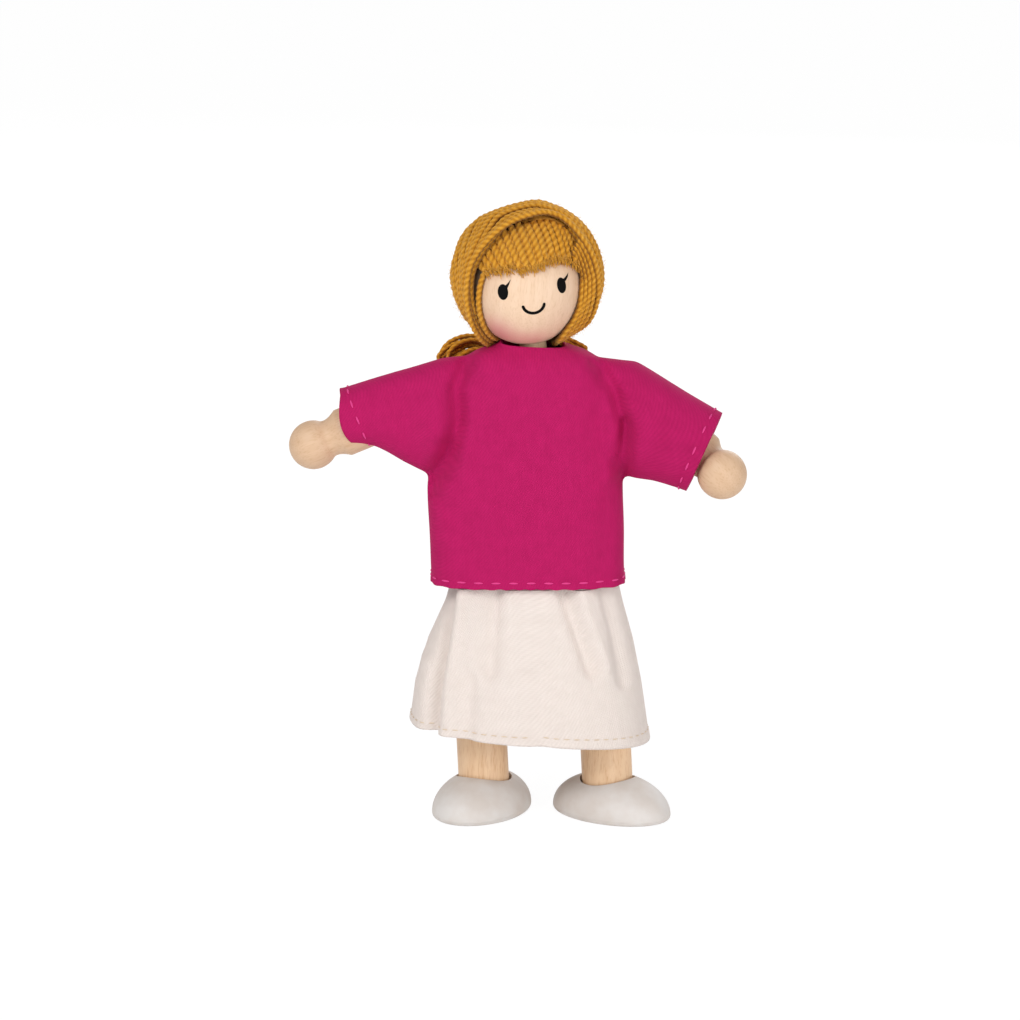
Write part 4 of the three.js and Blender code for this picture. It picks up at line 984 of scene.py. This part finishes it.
def twill(name, base, deep, light, wale_mm, slant, bump):
    """Combed cotton twill: soft and matte, with diagonal wales, drawn coarser than real ones to show."""
    finish, tree = blank_material(name)
    uv = add(tree, "UVMap", uv_map="UVMap")
    laid = add(tree, "Mapping", {"Rotation": (0, 0, slant)}, {"Vector": uv})
    wales = add(tree, "TexWave", {"Scale": 0.314 / wale_mm, "Distortion": 0.6, "Detail": 1},
                {"Vector": laid}, bands_direction="X")
    crossing = add(tree, "TexWave", {"Scale": 0.314 / (wale_mm * 0.8), "Distortion": 0.6},
                   {"Vector": laid}, bands_direction="Y")
    slubs = add(tree, "TexNoise", {"Scale": 0.35, "Detail": 3}, {"Vector": uv})
    threads = add(tree, "Mapping", {"Scale": (2.4, 0.12, 1)}, {"Vector": uv})
    warp = add(tree, "TexNoise", {"Scale": 1, "Detail": 2}, {"Vector": threads})
    weave = add(tree, "Math", {1: 0.4}, {0: crossing.outputs["Fac"], 2: wales.outputs["Fac"]},
                operation="MULTIPLY_ADD")
    mottled = add(tree, "Mix", {6: linear(deep), 7: linear(base)}, {0: slubs}, data_type="RGBA")
    streak = add(tree, "MapRange", {1: 0.3, 2: 0.8, 3: 0, 4: 0.2}, {0: warp})
    streaked = add(tree, "Mix", {7: linear(light)}, {0: streak, 6: mottled.outputs[2]}, data_type="RGBA")
    wale_part = add(tree, "MapRange", {1: 0, 2: 1.2, 3: 0.55, 4: 0}, {0: weave})
    cloth_colour = add(tree, "Mix", {7: linear(deep)},
                       {0: wale_part, 6: streaked.outputs[2]}, data_type="RGBA")
    raised = add(tree, "Bump", {"Strength": bump, "Distance": 0.05 * MM}, {"Height": weave})
    shader = add(tree, "BsdfPrincipled",
                 {"Roughness": 0.9, "IOR": 1.5, "Specular IOR Level": 0.2, "Sheen Weight": 0.1,
                  "Sheen Roughness": 0.4, "Sheen Tint": linear(light)},
                 {"Base Color": cloth_colour.outputs[2], "Normal": raised})
    add(tree, "OutputMaterial", links={"Surface": shader})
    return finish


magenta_twill = twill("magenta_cotton_twill", "#C01763", "#A81054", "#CF2A72", 0.5, 0.6, 0.5)

# UVs in mm: across the front and round the sides, and up
uv_map = shirt_skin.loops.layers.uv.new("UVMap")
for face in shirt_skin.faces:
    for loop in face.loops:
        x, y, z = loop.vert.co
        loop[uv_map].uv = (x + 0.7 * y, z)

# where the shirt's body ends and each yoke begins: the crease from the shoulder to the armpit
creases = {
    "right": (Vector((-15.2, 0, 104)), Vector((-24.8, 0, 75.5))),
    "left": (Vector((13.2, 0, 104)), Vector((18.9, 0, 76.5))),
}
YOKE_WIDTH = 4.5


def plane_of(side):
    """A point of the plane through a side's crease, and the plane's direction out to the arm."""
    top, bottom = creases[side]
    outward = Vector((0, 1, 0)).cross(bottom - top).normalized()
    if outward.x * (-1 if side == "right" else 1) < 0:
        outward = -outward
    return top, outward


def thickened(skin_mesh, thickness):
    """The skin with its cloth's thickness inside it. Each corner keeps its normal for the cuts to come."""
    cloth = modified(skin_mesh, "SOLIDIFY", thickness=thickness, offset=-1)
    cloth.normal_update()
    kept = cloth.verts.layers.float_vector.new("whole_normal")
    for vert in cloth.verts:
        vert[kept] = vert.normal
    return cloth


def part_of(source, cuts, around=True):
    """A copy of the cloth kept on the inner side of each cut (a point and its outward direction)."""
    part = source.copy()
    for at, outward in cuts:
        bmesh.ops.bisect_plane(part, geom=everything(part), plane_co=at, plane_no=outward, clear_outer=True)
        bmesh.ops.remove_doubles(part, verts=[vert for vert in part.verts if vert.is_boundary], dist=1e-3)
        cut_edges = [edge for edge in part.edges if edge.is_boundary]
        if around:
            bmesh.ops.bridge_loops(part, edges=cut_edges)
        else:
            bmesh.ops.holes_fill(part, edges=cut_edges, sides=0)
    return part


def cloth_piece(bm, name, finish):
    """A part of a garment, shaded with the whole garment's normals so that no seam shows at its cuts."""
    kept = bm.verts.layers.float_vector["whole_normal"]
    normals = [vert[kept].normalized() for vert in bm.verts]
    bm.verts.layers.float_vector.remove(kept)
    bm.transform(STANDING)
    piece = piece_from(bm, name, finish, sharp_deg=180)
    piece.data.normals_split_custom_set_from_vertices(normals)
    return piece


shirt_cloth = thickened(shirt_skin.copy(), CLOTH)
right_at, right_out = plane_of("right")
left_at, left_out = plane_of("left")
trunk = cloth_piece(part_of(shirt_cloth, [(right_at, right_out), (left_at, left_out)]),
                    "shirt_body", magenta_twill)
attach(trunk, "torso")
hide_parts("shirt")
for side, (at, outward) in (("right", (right_at, right_out)), ("left", (left_at, left_out))):
    yoke_end = at + outward * YOKE_WIDTH
    yoke = cloth_piece(part_of(shirt_cloth, [(at, -outward), (yoke_end, outward)]),
                       "shirt_%s_yoke" % side, magenta_twill)
    sleeve = cloth_piece(part_of(shirt_cloth, [(yoke_end, -outward)]),
                         "shirt_%s_sleeve" % side, magenta_twill)
    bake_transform(yoke)
    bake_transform(sleeve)


# SKIRT
# Ivory cotton twill, one rectangle closed behind and gathered on an elastic at the waist. It flares
# in a few soft folds, and its turned-under hem is stitched in a beige thread.
SKIRT_TOP = 68
SKIRT_HEM = 19.2
SKIRT_HEM_GROOVE = 1.9
SKIRT_STITCH_LINE = 2.0
skirt_levels = (  # height, left, right, front, back, squareness, fold depth
    (SKIRT_TOP, -15.7, 15.7, -9.7, 9.7, 4, 0), (62.5, -17, 16.8, -9.9, 9.9, 4, 0),
    (54, -19, 18, -10.2, 10.2, 4, 0.2), (48, -20.8, 19.4, -11.6, 11.6, 3.6, 0.5),
    (40, -24.4, 21.6, -14, 13.6, 3, 0.8), (30, -27.2, 23.6, -17, 16, 2.6, 1.2),
    (SKIRT_HEM, -28.4, 25.4, -19.6, 18.4, 2.4, 1.5))
ivory_twill = twill("ivory_cotton_twill", "#EEE3DC", "#DFD3CB", "#F6EEE9", 0.55, -0.45, 1.0)
# (x, z) down the front; the first is the deep fold on the doll's right
skirt_valleys = (
    (((-18.4, 56), (-19.6, 48), (-20.8, 40), (-22.6, 30), (-23.3, 17)), 2.8, 0.95),
    (((5.2, 56), (6.8, 51), (9.7, 43), (12.6, 35)), 1.9, 1.7),
    (((-9.4, 56), (-10.2, 44), (-10.9, 35)), 1.5, 2.0),
    (((14.6, 55), (17.4, 44), (19.6, 32)), 1.3, 1.6),
    (((0.5, 36), (1.5, 27), (1.2, 17)), 1.0, 2.6),
    (((-15.0, 34), (-15.6, 25), (-15.8, 17)), 1.0, 1.8),
)
skirt_ridges = (
    (((-16.2, 56), (-17.4, 46), (-19.4, 34), (-20.4, 18)), 0.9, 1.3),
    (((8.8, 55), (11.8, 46), (15.4, 36)), 0.8, 1.6),
    (((-24.6, 36), (-25.6, 26), (-25.8, 17)), 0.8, 1.8),
    (((-5.5, 52), (-5.0, 42), (-5.4, 34)), 0.4, 2.4),
)
back_folds = (0.55, 1.05, 1.55, 2.1, 2.6)


def between(levels, z):
    """The values at a height, between the two levels above and below it."""
    for a, b in zip(levels, levels[1:]):
        if a[0] >= z >= b[0]:
            t = (a[0] - z) / (a[0] - b[0])
            return [a[i] + (b[i] - a[i]) * t for i in range(1, 7)]
    return levels[-1][1:]


SKIRT_COLUMNS, SKIRT_ROWS = ((220, 96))


def skirt_point(column, row):
    """A point of the skirt: columns go round it from the doll's left, rows go down."""
    angle = 2 * math.pi * column / SKIRT_COLUMNS
    down = row / SKIRT_ROWS
    z = SKIRT_TOP + (SKIRT_HEM - SKIRT_TOP) * down
    left, right, front, back, square, depth = between(skirt_levels, z)
    out = Vector((squared(math.cos(angle), square), squared(math.sin(angle), square), 0))
    point = Vector(((left + right) / 2 + (right - left) / 2 * out.x,
                    (front + back) / 2 + (back - front) / 2 * out.y, z))
    out.normalize()
    behind = max(0, math.sin(angle)) ** 0.5
    for fold in back_folds:
        point += out * depth * behind * (math.exp(-((angle - fold) / 0.17) ** 2) - 0.25)
    # the front's folds fade out along the sides
    if point.y < 4:
        facing = min(1, max(0, (4 - point.y) / 10))
        point -= out * facing * valley_depth(point.x, z, skirt_valleys)
        point += out * facing * valley_depth(point.x, z, skirt_ridges)
    # the hem hangs 2 mm lower on the doll's left and 2.8 mm higher on its right
    hang = max(0, (SKIRT_HEM + 14 - z) / 14) ** 1.5
    lift = 2.4 * math.cos(angle) - 0.4
    point.z -= lift * hang
    if z < SKIRT_HEM + 2.4:
        up = z - SKIRT_HEM
        point += out * (0.2 - 0.25 * math.exp(-((up - SKIRT_HEM_GROOVE) / 0.35) ** 2))
    return point


skirt_skin = bmesh.new()
sheet_grid(skirt_skin, SKIRT_COLUMNS, SKIRT_ROWS, skirt_point, (134, 49))
healed(skirt_skin)
if sum(face.normal.dot(face.calc_center_median() - Vector((0, 0, face.calc_center_median().z)))
       for face in skirt_skin.faces) < 0:
    bmesh.ops.reverse_faces(skirt_skin, faces=skirt_skin.faces)
# Under the shirt the gathered waist stays with the torso and runs on down inside, so that no gap
# opens when a leg swings. Below it each half follows its leg and stays joined at the middle.
SKIRT_LET_GO = 53
WAIST_END = 44.5
WAIST_INSET = 0.85
WAIST_CLOTH = 0.5
waist_skin = skirt_skin.copy()
waist_skin.normal_update()
for vert, normal in [(vert, vert.normal.copy()) for vert in waist_skin.verts]:
    vert.co -= normal * WAIST_INSET
waist_cloth = thickened(waist_skin, WAIST_CLOTH)
skirt_waist = cloth_piece(part_of(waist_cloth, [((0, 0, WAIST_END), (0, 0, -1))]),
                          "skirt_waist", ivory_twill)
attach(skirt_waist, "torso")
skirt_cloth = part_of(thickened(skirt_skin.copy(), CLOTH), [((0, 0, SKIRT_LET_GO), (0, 0, 1))])
for side, sign in (("right", -1), ("left", 1)):
    half = cloth_piece(part_of(skirt_cloth, [((0, 0, 0), (-sign, 0, 0))], around=False),
                       "skirt_%s_half" % side, ivory_twill)
    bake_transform(half)
    if side == "right":
        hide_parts("skirt")


# STITCHES
# Each hem is held by one row of running stitches in cotton thread: lighter magenta on the
# shirt and its sleeves, beige on the skirt.
def relieved(name, code, roughness, texture, scale, output, strength, depth_mm, **settings):
    """One colour over a fine relief from one texture."""
    finish, tree = blank_material(name)
    relief = add(tree, texture, {"Scale": scale},
                 {"Vector": add(tree, "TexCoord").outputs["Object"]}, **settings)
    raised = add(tree, "Bump", {"Strength": strength, "Distance": depth_mm * MM},
                 {"Height": relief.outputs[output]})
    shader = add(tree, "BsdfPrincipled", {"Base Color": linear(code), "Roughness": roughness},
                 {"Normal": raised})
    add(tree, "OutputMaterial", links={"Surface": shader})
    return finish


pink_thread, beige_thread = (
    relieved("cotton_thread_" + name, code, 0.7, "TexNoise", 1 / (0.15 * MM), 0, 0.4, 0.03)
    for name, code in (("pink", "#E0398A"), ("beige", "#DDC9AE")))


def stitch_row(line, pitch, length, radius, finish, name):
    """Stitches laid along a line of points in mm, pressed onto the cloth."""
    bm = bmesh.new()
    walked, marks = 0, []
    for a, b in zip(line, line[1:]):
        step = (b - a).length
        while walked + step >= pitch * (len(marks) + 0.5) and step > 0:
            t = (pitch * (len(marks) + 0.5) - walked) / step
            marks.append((a.lerp(b, t), (b - a).normalized()))
        walked += step
    for at, run in marks:
        made = bmesh.ops.create_uvsphere(bm, u_segments=8, v_segments=6, radius=1)["verts"]
        shape = Matrix.Diagonal((radius, radius, length / 2, 1))
        bmesh.ops.transform(bm, matrix=aimed(at, run) @ shape, verts=made)
    bm.transform(STANDING)
    row = piece_from(bm, name, finish, sharp_deg=180)
    return row


def level_line(source, at, normal, sort_by):
    """Points where a plane cuts the cloth, in order round it."""
    cut = source.copy()
    made = bmesh.ops.bisect_plane(cut, geom=everything(cut), plane_co=at, plane_no=normal)["geom_cut"]
    cut.normal_update()
    points = [(vert.co.copy(), vert.normal.copy()) for vert in made if isinstance(vert, bmesh.types.BMVert)]
    points = [(p, n) for p, n in points if abs((p - Vector(at)).dot(Vector(normal).normalized())) < 0.01]
    points.sort(key=lambda pair: sort_by(pair[0]))
    cut.free()
    return [p + n * 0.1 for p, n in points]


hem_line = level_line(shirt_skin, (0, 0, SHIRT_HEM + SHIRT_STITCH_LINE), (0, 0, 1),
                      lambda p: round_body(p.x, p.y))
row = stitch_row(hem_line + hem_line[:1], STITCH_PITCH, 2.1, 0.24, pink_thread, "shirt_hem_stitches")
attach(row, "torso")
for side in ("right", "left"):
    middle, outward = sleeve_ends[side]
    outward = outward.normalized()
    at = middle - outward * 1.8
    up = (sleeve_runs[side][3][0] - sleeve_runs[side][3][1]).normalized()
    across = up.cross(outward)
    line = [p for p in level_line(shirt_skin, at, outward,
                                  lambda p: math.atan2((p - at).dot(up), (p - at).dot(across)))
            if (p - at).length < 20]
    row = stitch_row(line + line[:1], STITCH_PITCH, 2.0, 0.22, pink_thread,
                     "shirt_%s_sleeve_stitches" % side)
    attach(row, side + "_arm")
skirt_hem_line = []
for column in range(SKIRT_COLUMNS + 1):
    row_index = SKIRT_ROWS * (1 - SKIRT_STITCH_LINE / (SKIRT_TOP - SKIRT_HEM))
    low_row, high_row = math.floor(row_index), math.ceil(row_index)
    a, b = skirt_point(column % SKIRT_COLUMNS, low_row), skirt_point(column % SKIRT_COLUMNS, high_row)
    point = a.lerp(b, row_index - low_row)
    away = Vector((point.x, point.y, 0)).normalized()
    skirt_hem_line.append(point + away * 0.12)
for side, sign in (("right", -1), ("left", 1)):
    half_line = [p for p in skirt_hem_line if p.x * sign > 0.2]
    half_line.sort(key=lambda p: math.atan2(p.y, abs(p.x)))
    row = stitch_row(half_line, 2.3, 1.4, 0.11, beige_thread, "skirt_%s_hem_stitches" % side)
    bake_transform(row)
for spare in (shirt_skin, shirt_cloth, skirt_skin, skirt_cloth, waist_cloth):
    spare.free()


# WAIST ELASTIC AND CLOSURE TAPES
# A flat woven elastic runs in the skirt's waist. At the shirt's back a hook tape and a loop tape
# are sewn inside the overlap.
woven = relieved("woven_white_elastic", "#F4F2EE", 0.85, "TexWave", 0.314 / (0.6 * MM), "Fac",
                 0.6, 0.1, bands_direction="Z")
dressed("waist_elastic", woven)

for node, code, grain_mm in (("closure_hook_tape", "#B01A5A", 0.5), ("closure_loop_tape", "#D9D4CF", 0.3)):
    nap = relieved(node.replace("closure", "nylon"), code, 0.8, "TexVoronoi", 1 / (grain_mm * MM),
                   0, 0.8, 0.2)
    dressed(node, nap)

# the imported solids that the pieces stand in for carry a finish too
stand_in_finish = {
    "head": head_maple, "hair_wrap": yarn_wool, "hair_fringe": yarn_wool, "ponytail": yarn_wool,
    "right_arm": upright_maple, "left_arm": upright_maple, "right_foot": foot_paint, "left_foot": foot_paint,
    "shirt": magenta_twill, "skirt": ivory_twill,
}
for node, solid_node in frame["nodes"].items():
    solid_node.data.materials.clear()
    solid_node.data.materials.append(stand_in_finish.get(node, upright_maple))


# FLOOR, LIGHT AND CAMERA
# The doll stands on a white sweep in soft studio light from the front left, seen from 12 degrees
# above by a long lens.
sweep_white, tree = blank_material("white_paper_sweep")
ray = add(tree, "LightPath").outputs["Is Camera Ray"]
paper = add(tree, "BsdfDiffuse", {"Color": linear("#FFFFFF")})
shine = add(tree, "Emission", {"Color": linear("#FFFFFF"), "Strength": 1.06})
share = add(tree, "Math", {1: 0.88}, {0: ray}, operation="MULTIPLY")
sweep = add(tree, "MixShader", links={0: share, 1: paper, 2: shine})
add(tree, "OutputMaterial", links={"Surface": sweep})
SOLE_CLEARANCE = 0.0001
floor_bm = bmesh.new()
bmesh.ops.create_grid(floor_bm, x_segments=1, y_segments=1, size=3)
bmesh.ops.translate(floor_bm, vec=(0, 0, -SOLE_CLEARANCE), verts=floor_bm.verts)
floor = piece_from(floor_bm, "floor", sweep_white)

world = bpy.data.worlds.new("studio")
bpy.context.scene.world = world
world.use_nodes = True
tree = world.node_tree
tree.nodes.clear()
seen = add(tree, "LightPath").outputs["Is Camera Ray"]
fill = add(tree, "Background", {"Color": linear("#FFFFFF"), "Strength": 0.46})
white = add(tree, "Background", {"Color": linear("#FFFFFF"), "Strength": 1})
backdrop = add(tree, "MixShader", links={0: seen, 1: fill, 2: white})
add(tree, "OutputWorld", links={"Surface": backdrop})


def softbox(name, at, aim, size, watts):
    lamp = bpy.data.lights.new(name, "AREA")
    lamp.shape = "SQUARE"
    lamp.size = size
    lamp.energy = watts
    box = in_scene(name, lamp)
    box.location = at
    box.rotation_euler = (Vector(aim) - Vector(at)).to_track_quat("-Z", "Y").to_euler()


softbox("key_softbox", (-0.45, -0.75, 0.75), (0, 0, 0.07), 0.5, 5.6)
softbox("fill_softbox", (0.6, -0.8, 0.14), (0, 0, 0.05), 0.5, 3.4)
softbox("back_softbox", (0.3, 0.95, 0.5), (0, 0, 0.07), 0.6, 3.5)

ELEVATION = math.radians(12)
DISTANCE = 1.008
aim = CENTRE_LINE + Vector((-6.0, 0, 69.1)) * MM
lens = bpy.data.cameras.new("camera")
lens.lens = 159.2
lens.sensor_width = 36
camera = in_scene("camera", lens)
back = Vector((0, -math.cos(ELEVATION), math.sin(ELEVATION)))
camera.location = aim + back * DISTANCE
camera.rotation_euler = (-back).to_track_quat("-Z", "Y").to_euler()
scene = bpy.context.scene
scene.camera = camera
scene.render.resolution_x = 1020
scene.render.resolution_y = 1020
scene.view_settings.view_transform = "Standard"
